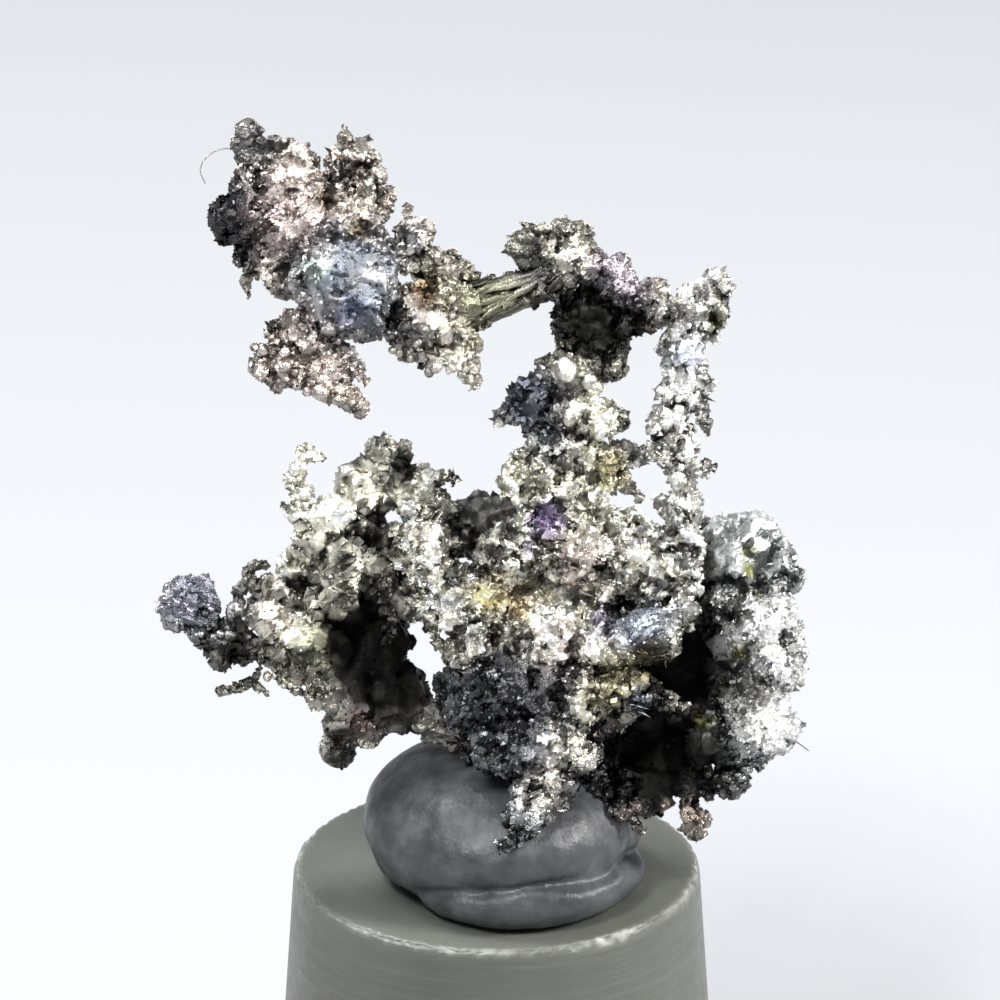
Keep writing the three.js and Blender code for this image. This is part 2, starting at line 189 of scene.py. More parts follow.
def smooth_line(points, per_span=5):
    """Extra points along a smooth curve through the given ones."""
    points = np.asarray(points, float)
    ends = np.vstack([2 * points[0] - points[1], points, 2 * points[-1] - points[-2]])
    line = []
    for i in range(1, len(ends) - 2):
        p0, p1, p2, p3 = ends[i - 1 : i + 3]
        for t in np.linspace(0, 1, per_span, endpoint=False):
            bend = (2 * p0 - 5 * p1 + 4 * p2 - p3) * t**2
            line.append(0.5 * (2 * p1 + (p2 - p0) * t + bend + (3 * p1 - p0 - 3 * p2 + p3) * t**3))
    return np.array(line + [points[-1]])


def twig(points, start, end):
    """A tapering twig through points in the silver's axes, from one radius to another."""
    line = smooth_line(to_part(points))
    return tube(line, np.linspace(start, end, len(line)))


def random_units(count):
    return unit(rng.normal(size=(count, 3)))


def surface_points(verts, faces, count):
    """Random places on a skin, even by area: (points, normals, a vertex close to each)."""
    a, ab, ac = corner_vectors(verts, faces)
    face = np.cross(ab, ac)
    area = np.linalg.norm(face, axis=1)
    pick = rng.choice(len(faces), count, p=area / area.sum())
    u, v = rng.random((2, count, 1))
    flip = (u + v) > 1
    u, v = np.where(flip, 1 - u, u), np.where(flip, 1 - v, v)
    return a[pick] + u * ab[pick] + v * ac[pick], face[pick] / area[pick, None], faces[pick, 0]


def noise_at(points, scale, shift=0.0):
    """Smooth noise from about -1 to 1 at every point; scale is in features per mm."""
    return np.array([noise.noise(Vector(p)) for p in (points * scale + shift).tolist()])


# Small crystals as templates of about unit half size, with outward faces

BLOCK = (
    np.array([[x, y, z] for x in (-1, 1) for y in (-1, 1) for z in (-1, 1)], float) * 0.8,
    np.array([
        [0, 1, 3], [0, 3, 2], [4, 6, 7], [4, 7, 5], [0, 4, 5], [0, 5, 1],
        [2, 3, 7], [2, 7, 6], [0, 2, 6], [0, 6, 4], [1, 5, 7], [1, 7, 3],
    ]),
)
OCTAHEDRON = (
    np.array([[1, 0, 0], [-1, 0, 0], [0, 1, 0], [0, -1, 0], [0, 0, 1], [0, 0, -1]], float),
    np.array([[0, 2, 4], [2, 1, 4], [1, 3, 4], [3, 0, 4], [2, 0, 5], [1, 2, 5], [3, 1, 5], [0, 3, 5]]),
)
TETRAHEDRON = (
    np.array([[1, 1, 1], [1, -1, -1], [-1, 1, -1], [-1, -1, 1]], float) * 0.75,
    np.array([[0, 1, 2], [0, 3, 1], [0, 2, 3], [1, 3, 2]]),
)


def ball(detail):
    """A unit ball of triangles: (vertices, faces)."""
    bpy.ops.mesh.primitive_ico_sphere_add(subdivisions=detail, radius=1)
    obj = bpy.context.object
    shape = arrays_of(obj.data)
    bpy.data.objects.remove(obj)
    return shape


BEAD = ball(1)
ROUND_BEAD = ball(2)


def turns_towards(aims):
    """Rotation matrices whose last columns are the given directions, with a random twist."""
    side = unit(np.cross(aims, rng.normal(size=aims.shape)))
    return np.stack([side, np.cross(aims, side), aims], axis=2)


def copies(template, centres, sizes, turns):
    """Copies of a template as one pair of arrays. sizes is (n, 3)."""
    verts, faces = template
    placed = np.einsum("nij,nkj->nki", turns, verts[None] * sizes[:, None]) + centres[:, None]
    starts = (np.arange(len(centres)) * len(verts))[:, None, None]
    return placed.reshape(-1, 3), (faces[None] + starts).reshape(-1, 3)


# Finishes of the silver. Counts are for each square mm and sizes are in mm

USUAL = dict(
    # Broad plates, with their tilt, their step in height and their contrast in brightness: random tone, and
    # painted light and shade by height
    plates=1.6, plate_tilt=0.0, plate_step=0.0, contrast=0.3,
    # Small faces, with their tilt, their step, the share that are pits and their brightness
    faces=14, tilt=0.4, step=0.025, pits=0.0, skin=0.85,
    # Crystals of each kind, with their half size
    beads=1.0, bead=0.065, blocks=1, block=0.05, leaves=0.0, leaf=0.1, grains=60, grain=0.034,
    # The share of dark crystals, and the roughness of the metal
    dark=0.2, gloss=0.3,
)
FINISHES = {
    # Open leafy growth: tilted plates, beads and blocks with deep gaps between them
    "leafy": dict(
        USUAL, plates=2.0, plate_tilt=0.55, plate_step=0.12, contrast=0.45, pits=0.06, skin=0.95, beads=2.0,
        bead=0.075, blocks=6, block=0.06, leaves=5, leaf=0.13, grains=80, grain=0.038, dark=0.12,
    ),
    # White sugar: dense tiny grains over broad flat faces
    "sugary": dict(
        USUAL, plates=1.2, plate_tilt=0.28, plate_step=0.06, contrast=0.25, faces=16, tilt=0.35, pits=0.04,
        beads=2.5, blocks=6, block=0.055, leaves=1, grains=120, grain=0.038, dark=0.08, gloss=0.34,
    ),
    # Tarnished ledges with scattered bright points
    "dark": dict(
        USUAL, plates=2.2, plate_tilt=0.45, plate_step=0.1, contrast=0.5, step=0.04, pits=0.1, skin=0.5,
        beads=1.5, bead=0.055, blocks=5, block=0.055, leaves=2, grains=105, dark=0.45, gloss=0.28,
    ),
    # Broad bright leaves under fine sugar
    "plated": dict(
        USUAL, plates=0.8, plate_tilt=0.3, plate_step=0.06, faces=5, tilt=0.16, step=0.012, skin=1.15,
        leaves=0.8, leaf=0.11, dark=0.05, gloss=0.36,
    ),
    # Close grain without tilted plates, for strands and thin sticks
    "stranded": dict(
        USUAL, plates=1.0, faces=16, tilt=0.22, step=0.015, skin=0.9, beads=0.8, bead=0.05, blocks=2,
        block=0.045, leaves=0.5, grains=45, dark=0.25, gloss=0.26,
    ),
    # Rounded lumps with many small beads
    "smooth": dict(
        USUAL, plate_tilt=0.1, plate_step=0.08, contrast=0.4, faces=6, tilt=0.06, step=0.02, beads=8.0,
        bead=0.085, grain=0.04, gloss=0.46,
    ),
    # Sunk places with painted shade: many dark crystals, dull and soft
    "hollow_painted_shade": dict(
        USUAL, contrast=0.5, faces=6, tilt=0.0, step=0.0, skin=0.8, bead=0.07, block=0.045, grains=14,
        grain=0.036, dark=0.6, gloss=0.55,
    ),
}
FINISH_NAMES = list(FINISHES)

# Ridged stretches: (across, up, near), radius, direction, crystals per square mm, length, width

RIDGED = {
    "body": [
        ((2.2, -2.9, 0.9), 0.8, (0.95, -0.3, 0.0), 3, 0.3, 0.045),
        ((-1.9, -0.4, -0.9), 0.5, (0.5, 0.85, 0.0), 8, 0.3, 0.06),
        ((4.2, -6.0, 0.4), 0.5, (0.9, -0.3, 0.0), 6, 0.3, 0.05),
    ],
}

# Each branch's slot in the record, its main finish and its linear colour

BRANCHES = {
    "crown": ("silver_cream", "sugary", (0.58, 0.53, 0.48)),
    "arch": ("silver_bright", "leafy", (0.35, 0.335, 0.295)),
    "centre_column": ("silver_bright", "leafy", (0.78, 0.76, 0.65)),
    "right_column": ("silver_sugary", "leafy", (0.82, 0.8, 0.75)),
    "body": ("silver_bright", "leafy", (1.1, 1.07, 0.93)),
    "keel": ("silver_dark", "dark", (0.44, 0.44, 0.45)),
    "right_boss": ("silver_sugary", "dark", (0.64, 0.65, 0.64)),
    "left_spray": ("silver_cream", "plated", (0.74, 0.72, 0.62)),
    "left_arm": ("silver_dark", "plated", (0.4, 0.38, 0.34)),
}

# Patches of another finish: (across, up, near), radius in mm, finish; the dull dark finish of sunk places
# paints shade with dark crystals

PATCHES = [
    ((-8.0, 8.5, 0.4), 1.3, "dark"),
    ((-4.4, 6.2, 1.9), 1.5, "smooth"),
    ((-4.4, 10.0, 0.0), 1.5, "leafy"),
    ((-2.5, 5.4, 0.2), 1.6, "leafy"),
    ((-1.3, 5.0, 0.4), 1.2, "plated"),
    ((-0.9, 5.8, 0.2), 1.0, "stranded"),
    ((0.4, 6.2, 0.2), 1.1, "stranded"),
    ((3.4, 6.7, 0.8), 1.1, "sugary"),
    ((2.8, 5.2, 0.1), 0.75, "hollow_painted_shade"),
    ((0.6, 2.8, 0.2), 1.1, "plated"),
    ((7.4, -1.4, -1.2), 1.4, "plated"),
    ((8.6, -4.6, 0.2), 2.0, "sugary"),
    ((8.3, -6.6, 0.0), 1.6, "sugary"),
    ((5.2, -7.6, -1.6), 1.7, "hollow_painted_shade"),
    ((5.6, -4.9, -2.0), 1.5, "hollow_painted_shade"),
    ((1.9, -7.9, 1.0), 1.1, "leafy"),
    ((1.2, -9.0, 1.0), 0.9, "leafy"),
    ((-3.9, -4.3, -1.6), 1.7, "hollow_painted_shade"),
    ((-3.0, -6.0, -1.9), 1.1, "hollow_painted_shade"),
    ((-9.2, -3.1, -0.6), 1.0, "sugary"),
    ((-7.3, -5.4, -1.0), 0.9, "stranded"),
    ((-6.0, -5.8, -1.0), 0.8, "stranded"),
    ((-0.4, -0.7, -2.0), 1.3, "hollow_painted_shade"),
]

# Stains, with painted shade and painted light: (across, up, near), radius in mm, linear colour, strength

CREAM = (0.88, 0.84, 0.74)
WHITE = (0.96, 0.95, 0.93)
PINK = (0.78, 0.66, 0.64)
BLUE = (0.45, 0.53, 0.72)
VIOLET = (0.46, 0.34, 0.7)
YELLOW = (0.78, 0.7, 0.38)
GOLD = (0.55, 0.38, 0.15)
OLIVE = (0.24, 0.25, 0.13)
DARK = (0.09, 0.09, 0.1)
MOSS = (0.32, 0.33, 0.09)
BLACK = (0.03, 0.03, 0.027)
# The near-black of painted shade in deep gaps and under overhangs
PAINTED_SHADE_BLACK = (0.012, 0.012, 0.011)
BROWN = (0.3, 0.21, 0.14)
GREY = (0.36, 0.36, 0.37)

STAINS_AND_PAINTED_LIGHT = [
    # crown
    ((-8.0, 8.6, 0.4), 1.2, DARK, 0.9),
    ((-7.8, 7.7, 0.3), 0.7, DARK, 0.8),
    ((-4.9, 9.5, 0.4), 0.4, BLACK, 0.85),
    ((-5.3, 8.8, 0.8), 0.35, BLACK, 0.7),
    ((-7.4, 10.7, 0.0), 0.8, DARK, 0.8),
    ((-6.2, 8.4, 1.5), 1.2, (0.66, 0.55, 0.53), 0.7),
    ((-4.4, 6.4, 2.2), 1.6, (0.29, 0.33, 0.39), 0.88),
    ((-4.5, 5.6, 2.3), 0.4, (0.3, 0.37, 0.58), 0.8),
    ((-4.4, 6.5, 2.4), 0.25, GREY, 0.9),
    ((-4.95, 6.0, 2.4), 0.25, GREY, 0.9),
    ((-5.5, 6.9, 2.1), 0.4, (0.4, 0.46, 0.4), 0.8),
    ((-3.75, 6.8, 2.2), 0.28, WHITE, 0.7),
    ((-3.2, 6.4, 1.9), 0.25, WHITE, 0.7),
    ((-5.2, 7.3, 1.9), 0.28, WHITE, 0.6),
    ((-3.3, 5.7, 2.0), 0.22, WHITE, 0.6),
    ((-4.2, 8.1, 1.4), 0.35, (0.15, 0.12, 0.06), 0.85),
    ((-5.2, 8.9, 1.3), 0.3, (0.16, 0.13, 0.07), 0.8),
    ((-5.9, 4.4, 1.8), 1.4, (0.66, 0.57, 0.53), 0.5),
    ((-2.2, 6.4, 0.6), 0.6, OLIVE, 0.7),
    ((-2.9, 5.0, 0.3), 0.6, DARK, 0.6),
    ((-2.3, 6.1, 0.5), 0.45, (0.2, 0.1, 0.06), 0.8),
    ((-1.0, 4.2, 0.5), 0.8, CREAM, 0.8),
    ((-1.3, 6.2, 0.5), 0.4, CREAM, 0.8),
    # bridge and arch
    ((-0.8, 5.75, 0.4), 0.8, YELLOW, 0.3),
    ((-0.2, 6.0, 0.3), 1.3, (0.24, 0.24, 0.17), 0.75),
    ((1.0, 6.9, 0.6), 0.6, DARK, 0.7),
    ((3.4, 6.6, 0.8), 1.0, (0.58, 0.51, 0.58), 0.7),
    ((2.1, 7.0, 0.7), 0.5, CREAM, 0.6),
    # Painted shade under the arch's crown
    ((2.6, 5.8, 0.0), 0.75, PAINTED_SHADE_BLACK, 0.95),
    ((2.9, 5.0, 0.1), 1.2, PAINTED_SHADE_BLACK, 0.97),
    ((3.9, 5.3, -0.1), 0.6, PAINTED_SHADE_BLACK, 0.9),
    ((2.1, 5.4, 0.2), 0.9, BLACK, 0.95),
    ((2.0, 3.9, 0.4), 0.5, CREAM, 0.9),
    # columns
    ((0.8, 3.0, 0.2), 1.1, (0.07, 0.077, 0.11), 0.94),
    ((1.4, 1.6, 0.8), 0.7, (0.24, 0.26, 0.3), 0.5),
    ((1.4, -0.6, 0.9), 0.42, VIOLET, 0.75),
    ((0.9, -1.5, 0.9), 0.25, VIOLET, 0.6),
    ((3.3, 0.9, 0.4), 0.5, YELLOW, 0.5),
    ((5.5, 4.3, 0.7), 0.8, WHITE, 0.9),
    ((5.6, 4.5, 0.7), 0.4, BLUE, 0.6),
    ((4.7, 5.1, 0.5), 0.2, (0.3, 0.15, 0.09), 0.8),
    ((6.5, 5.4, 0.3), 0.35, OLIVE, 0.8),
    # body
    ((0.45, -3.0, 0.7), 0.6, GOLD, 0.85),
    ((-0.3, -2.85, 0.6), 0.5, YELLOW, 0.8),
    ((-1.0, -4.0, 0.6), 0.7, GREY, 0.6),
    ((2.4, -1.8, 0.7), 0.9, PINK, 0.6),
    ((1.9, -4.6, 0.9), 0.9, PINK, 0.5),
    ((-1.9, -1.2, 0.2), 0.7, PINK, 0.35),
    ((3.2, -3.6, 0.8), 0.45, VIOLET, 0.5),
    ((4.3, -3.7, 1.1), 0.9, (0.36, 0.4, 0.48), 0.95),
    # Painted shade on the shell's lower side and in the pocket above it
    ((4.6, -4.85, 0.9), 0.65, (0.2, 0.15, 0.1), 0.95),
    ((3.75, -3.1, 0.4), 0.5, PAINTED_SHADE_BLACK, 0.97),
    ((-0.1, -4.7, 0.5), 0.4, BLACK, 0.8),
    ((1.5, -5.9, 1.0), 0.4, BLACK, 0.7),
    ((2.2, -2.75, 0.7), 0.3, BROWN, 0.8),
    ((4.9, -5.35, 0.4), 0.4, BLACK, 0.9),
    ((1.0, -2.3, 0.6), 0.35, DARK, 0.7),
    ((-1.4, -2.4, 0.2), 0.35, DARK, 0.8),
    ((3.6, -5.6, 0.8), 0.8, YELLOW, 0.6),
    ((4.2, -6.0, 0.4), 0.4, BLUE, 0.8),
    ((2.0, 0.0, -1.6), 1.0, DARK, 0.6),
    # Painted shade behind the body and in the gap between the body and the boss
    ((-0.4, -0.7, -2.0), 1.4, DARK, 0.9),
    ((5.4, -5.0, -2.0), 1.8, PAINTED_SHADE_BLACK, 0.98),
    # keel
    ((0.2, -6.0, 1.2), 1.6, (0.14, 0.14, 0.15), 0.8),
    ((2.25, -7.5, 1.0), 0.75, CREAM, 0.95),
    ((1.4, -8.8, 1.0), 0.6, CREAM, 0.9),
    ((2.4, -8.6, 0.8), 0.6, DARK, 0.85),
    ((-0.6, -6.3, 0.9), 0.5, (0.15, 0.16, 0.2), 0.7),
    # boss
    # White sugar on the boss's right face, with painted light where the lamp from the right falls
    ((8.6, -4.4, 0.2), 1.5, WHITE, 0.9),
    ((8.3, -6.3, 0.0), 1.5, WHITE, 0.9),
    ((7.4, -1.2, -1.0), 1.2, (0.6, 0.62, 0.62), 0.6),
    # Painted shade in the cavity between the body and the boss
    ((6.6, -5.6, -0.3), 0.9, BLACK, 0.8),
    ((7.45, -1.5, -0.9), 0.22, MOSS, 0.9),
    ((7.55, -2.1, -0.9), 0.22, MOSS, 0.9),
    ((7.75, -2.7, -0.6), 0.2, MOSS, 0.9),
    ((7.2, -4.7, -0.1), 0.35, (0.3, 0.27, 0.06), 0.95),
    ((6.2, -5.6, -0.3), 0.3, MOSS, 0.9),
    ((6.0, -6.6, 0.0), 0.35, MOSS, 0.9),
    # Painted shadow under the boss
    ((4.9, -7.4, -1.4), 2.0, PAINTED_SHADE_BLACK, 1.0),
    ((4.4, -9.0, -1.35), 0.8, PAINTED_SHADE_BLACK, 0.95),
    ((6.4, -8.2, -0.9), 0.9, BLACK, 0.85),
    ((5.8, -9.7, -0.8), 0.6, (0.8, 0.68, 0.58), 0.9),
    ((4.0, -9.7, -1.0), 0.5, (0.5, 0.42, 0.39), 0.8),
    # left side
    ((-9.2, -3.1, -0.6), 1.0, (0.27, 0.28, 0.34), 0.9),
    ((-6.4, -5.0, -1.4), 0.8, (0.09, 0.07, 0.045), 0.95),
    ((-6.5, -4.0, -0.5), 1.0, (0.74, 0.7, 0.61), 0.85),
    ((-7.5, -5.2, -1.0), 0.9, (0.66, 0.62, 0.54), 0.9),
    ((-6.2, -5.9, -1.0), 0.8, (0.66, 0.62, 0.54), 0.9),
    ((-5.3, -4.3, -0.6), 0.7, (0.74, 0.76, 0.55), 0.85),
    ((-8.0, -4.1, -0.9), 0.6, (0.7, 0.7, 0.7), 0.5),
    # Painted shade in the deep gap behind the left arm
    ((-3.9, -4.3, -1.6), 1.6, PAINTED_SHADE_BLACK, 0.95),
    ((-3.3, -5.6, -1.8), 1.3, PAINTED_SHADE_BLACK, 0.9),
    ((-4.9, -7.6, -2.0), 0.6, BLACK, 0.9),
    # Painted shadow under the left arm's upper mass
    ((-8.0, -4.6, -1.3), 0.9, BLACK, 0.9),
    ((-4.2, -6.8, -1.8), 0.45, (0.4, 0.31, 0.28), 0.9),
    ((-3.0, 0.9, -1.6), 0.7, BLACK, 0.9),
    ((-4.0, -1.1, -1.1), 0.75, BLACK, 0.9),
    ((-3.2, -2.5, -0.9), 0.45, BLACK, 0.8),
]


def distance_to(silver, at):
    """Distance from a place in the silver's axes, reaching further in depth than across."""
    return np.linalg.norm((silver - at) * (1, 1, 0.6), axis=1)


# What points back more than this can't be seen from the display side
FACES_BACK = -0.2


def finish_at(points, facing, branch):
    """The finish at each point, as an index: the branch's own, or that of the last patch it lies in.

    The painted shade of the sunk-place finish is put only on what faces the display side, so what faces
    back keeps the grain around it.
    """
    silver = to_silver(points)
    shown = (facing @ LEAN_MATRIX)[:, 2] > FACES_BACK
    ragged = 1 + 0.3 * noise_at(points, 1.5, 2.0)
    index = np.full(len(points), FINISH_NAMES.index(BRANCHES[branch][1]))
    for at, radius, finish in PATCHES:
        inside = distance_to(silver, at) < radius * ragged
        if finish == "hollow_painted_shade":
            inside &= shown
        index[inside] = FINISH_NAMES.index(finish)
    return index


def finish_value(index, key):
    """One value of the finish for each index."""
    return np.array([FINISHES[name][key] for name in FINISH_NAMES], float)[index]


class Crowding:
    """How much silver lies near a place, from points spread over every branch."""

    CELL = 0.3
    MARGIN = 3.0
    # How far in front of a surface to look, in mm, with the weight of each look
    LOOKS = ((0.8, 0.55), (1.6, 0.45))
    # The crowding in front of a surface, over the usual, that still counts as open
    OPEN = 0.4

    def __init__(self, points_of):
        points = np.concatenate(list(points_of.values()))
        self.low = points.min(axis=0) - self.MARGIN
        self.shape = np.ceil((points.max(axis=0) + self.MARGIN - self.low) / self.CELL).astype(int) + 1
        self.counts = {name: self.spread(points) for name, points in points_of.items()}
        self.total = sum(self.counts.values())
        self.usual = np.percentile(self.total[self.total > 0], 70)

    def cells(self, points):
        return np.clip(((points - self.low) / self.CELL).astype(int), 0, self.shape - 1).T

    def spread(self, points):
        """Counts of points in each cell and the cells round it."""
        count = np.zeros(self.shape)
        np.add.at(count, tuple(self.cells(points)), 1)
        for axis in range(3):
            count = count + np.roll(count, 1, axis) + np.roll(count, -1, axis)
        return count

    def shade(self, points, normals):
        """From 0 in the open to 1 in a deep gap, by what lies in front of the surface."""
        ahead = sum(
            weight * self.total[tuple(self.cells(points + reach * normals))] for reach, weight in self.LOOKS
        )
        return np.clip(ahead / self.usual - self.OPEN, 0, 1)

    def meets(self, points, name):
        """Whether another branch lies close by."""
        others = self.total - self.counts[name]
        return others[tuple(self.cells(points))] > 0


# How much painted shade darkens what faces down and what lies in a deep gap
UNDER_PAINTED_SHADE = 0.7
GAP_PAINTED_SHADE = 0.5


def tint_of(points, normals, branch, crowding):
    """Linear colour at each point: the branch's tint, its stains and painted light, and painted shade below
    and in gaps.
    """
    silver = to_silver(points)
    colour = np.tile(np.array(BRANCHES[branch][2]), (len(points), 1))
    mottle = noise_at(points, 1.1, 5.0)
    patchy = noise_at(points, 2.3, 9.0)
    colour *= ((1 + 0.25 * mottle) * np.clip(1 + 0.8 * patchy, 0.4, 1.45))[:, None]
    for at, radius, mark_colour, strength in STAINS_AND_PAINTED_LIGHT:
        far = distance_to(silver, at) / radius
        amount = strength * np.clip(1.6 - far * (1 + 0.35 * mottle), 0, 1)
        colour += amount[:, None] * (np.array(mark_colour) - colour)
    # Painted shade: the colour is darkened on what faces down and in deep gaps between branches
    under = np.clip(-normals[:, 2] - 0.1, 0, 1) ** 0.7
    gap = crowding.shade(points, normals)
    return colour * ((1 - UNDER_PAINTED_SHADE * under) * (1 - GAP_PAINTED_SHADE * gap))[:, None]


def paint(obj, colours, gloss):
    """Stores for each vertex a linear colour as tint and a roughness as gloss."""
    attribute = obj.data.color_attributes.new("tint", "FLOAT_COLOR", "POINT")
    values = np.concatenate([colours, np.ones((len(colours), 1))], axis=1)
    attribute.data.foreach_set("color", values.astype(np.float32).ravel())
    attribute = obj.data.attributes.new("gloss", "FLOAT", "POINT")
    attribute.data.foreach_set("value", gloss.astype(np.float32))


# Materials


def new_material(name):
    """(material, node tree, principled node) with the default nodes."""
    material = bpy.data.materials.new(name)
    material.use_nodes = True
    tree = material.node_tree
    return material, tree, tree.nodes["Principled BSDF"]


def set_inputs(tree, node, inputs):
    """Gives each input its value, or a link where the value is another node's output."""
    for name, value in inputs.items():
        if isinstance(value, bpy.types.NodeSocket):
            tree.links.new(value, node.inputs[name])
        else:
            node.inputs[name].default_value = value


def new_node(tree, kind, output, inputs, **settings):
    """The named output of a new node."""
    node = tree.nodes.new("ShaderNode" + kind)
    for name, value in settings.items():
        setattr(node, name, value)
    set_inputs(tree, node, inputs)
    return node.outputs[output]


def noise_node(tree, scale, detail, roughness=0.6, stretch=(1, 1, 1)):
    """Noise over the object's own coordinates; scale is in features per metre."""
    place = new_node(tree, "TexCoord", "Object", {})
    stretched = new_node(tree, "Mapping", "Vector", {"Scale": stretch, "Vector": place})
    values = {"Scale": scale, "Detail": detail, "Roughness": roughness, "Vector": stretched}
    return new_node(tree, "TexNoise", "Fac", values)


def ranged(tree, value, low, high, from_low=0.3, from_high=0.7):
    """value brought from one range to another."""
    limits = {"From Min": from_low, "From Max": from_high, "To Min": low, "To Max": high}
    return new_node(tree, "MapRange", "Result", limits | {"Value": value})


def scaled(tree, colour, factor):
    return new_node(tree, "VectorMath", "Vector", {0: colour, "Scale": factor}, operation="SCALE")


def added(tree, first, second):
    return new_node(tree, "Math", "Value", {0: first, 1: second}, operation="ADD")


def stored(tree, name, output):
    """A value that paint has stored for each vertex."""
    return new_node(tree, "Attribute", output, {}, attribute_name=name)


def bumped(tree, height, distance, strength):
    """A normal from a height; distance is in metres."""
    return new_node(tree, "Bump", "Normal", {"Strength": strength, "Distance": distance, "Height": height})


def ramp_node(tree, value, stops):
    """A colour ramp through (position, linear colour) stops."""
    node = tree.nodes.new("ShaderNodeValToRGB")
    elements = node.color_ramp.elements
    while len(elements) < len(stops):
        elements.new(0.5)
    for element, (position, colour) in zip(elements, stops):
        element.position = position
        element.color = (*colour, 1)
    set_inputs(tree, node, {"Fac": value})
    return node.outputs["Color"]


def silver_material():
    """Metal in the vertex tint, finely mottled, with a granular bump and crystals of differing gloss."""
    material, tree, shader = new_material("silver_grained")
    shade = ranged(tree, noise_node(tree, 7000, 3), 0.7, 1.2)
    wear = ranged(tree, noise_node(tree, 4000, 2), -0.08, 0.08)
    set_inputs(tree, shader, {
        "Base Color": scaled(tree, stored(tree, "tint", "Color"), shade),
        "Roughness": added(tree, stored(tree, "gloss", "Fac"), wear),
        "Normal": bumped(tree, noise_node(tree, 22000, 3), 0.00003, 0.8),
        "Metallic": 0.92,
    })
    return material


def putty_material():
    """Dull grey putty, mottled, with a soft sheen where it has been pressed."""
    material, tree, shader = new_material("putty_grey")
    stops = [(0.3, (0.02, 0.021, 0.025)), (0.52, (0.052, 0.054, 0.06)), (0.75, (0.125, 0.128, 0.132))]
    sheen = noise_node(tree, 1300, 3, stretch=(1, 1, 0.5))
    set_inputs(tree, shader, {
        "Base Color": ramp_node(tree, noise_node(tree, 600, 5), stops),
        "Roughness": ranged(tree, sheen, 0.32, 0.55),
        "Normal": bumped(tree, noise_node(tree, 2600, 6, 0.62), 0.00008, 0.55),
    })
    return material


def peg_material():
    """Frosted plastic in the vertex tint, clouded and marked by turning, with scattering under it."""
    material, tree, shader = new_material("peg_frosted")
    cloud = ranged(tree, noise_node(tree, 350, 4), 0.92, 1.08)
    rings = noise_node(tree, 240, 5, 0.7, stretch=(1, 1, 22))
    tint = scaled(tree, stored(tree, "tint", "Color"), cloud)
    set_inputs(tree, shader, {
        "Base Color": scaled(tree, tint, ranged(tree, rings, 0.94, 1.2, 0.45, 0.75)),
        "Normal": bumped(tree, rings, 0.00006, 0.6),
        "Roughness": ranged(tree, noise_node(tree, 2500, 3), 0.34, 0.52),
        "Subsurface Weight": 0.6,
        "Subsurface Radius": (0.0015, 0.0015, 0.0014),
        "Subsurface Scale": 1.0,
        "IOR": 1.49,
    })
    return material


# Forms too fine for the solids, in the silver's axes


def laid(shape, at, half, degrees):
    """A unit form stretched to its half sizes, turned from across towards up and set in its place."""
    turn = math.radians(degrees)
    long, short, thick = (shape * half).T
    across = long * math.cos(turn) - short * math.sin(turn)
    up = long * math.sin(turn) + short * math.cos(turn)
    return to_part(np.column_stack([across, up, thick]) + at)


def blade(at, half, degrees=0):
    """A leaf or a short lobe: a stretched ball."""
    verts, faces = ball(3)
    return laid(verts, at, half, degrees), faces


STRAND_RADIUS = 0.085


def strands(points, radii, count, twist):
    """Thin strands that wind together along a flat branch, as tubes."""
    line = smooth_line(points, 6)
    along = unit(np.gradient(line, axis=0))
    wide = unit(np.cross(along, [0, 0, 1]))
    deep = np.cross(wide, along)
    t = np.linspace(0, 1, len(line))[:, None]
    reach = np.interp(t, np.linspace(0, 1, len(radii)), radii)
    parts = []
    for i in range(count):
        angle = 2 * math.pi * i / count + twist * t + 0.35 * np.sin(5 * t + 2.4 * i)
        path = line + reach * (np.cos(angle) * wide + 0.5 * np.sin(angle) * deep)
        thick = STRAND_RADIUS + 0.03 * np.sin(9 * t[:, 0] + 1.7 * i)
        parts.append(tube(to_part(path + 0.02 * rng.normal(size=path.shape)), thick))
    return parts


# The bridge from the crown to the arch: its line, its half width along the line, its strands
BRIDGE_LINE = [(-1.5, 5.75, 0.15), (-0.5, 5.95, 0.2), (0.7, 6.3, 0.15), (1.8, 6.8, 0.1), (2.4, 7.1, 0.2)]
BRIDGE_HALF_WIDTHS = [0.62, 0.62, 0.46, 0.42, 0.45]
BRIDGE_STRANDS = strands(BRIDGE_LINE, BRIDGE_HALF_WIDTHS, count=22, twist=1.4)
STRAND_BRIGHT = [0.15, 0.5, 1.1, 2.0]

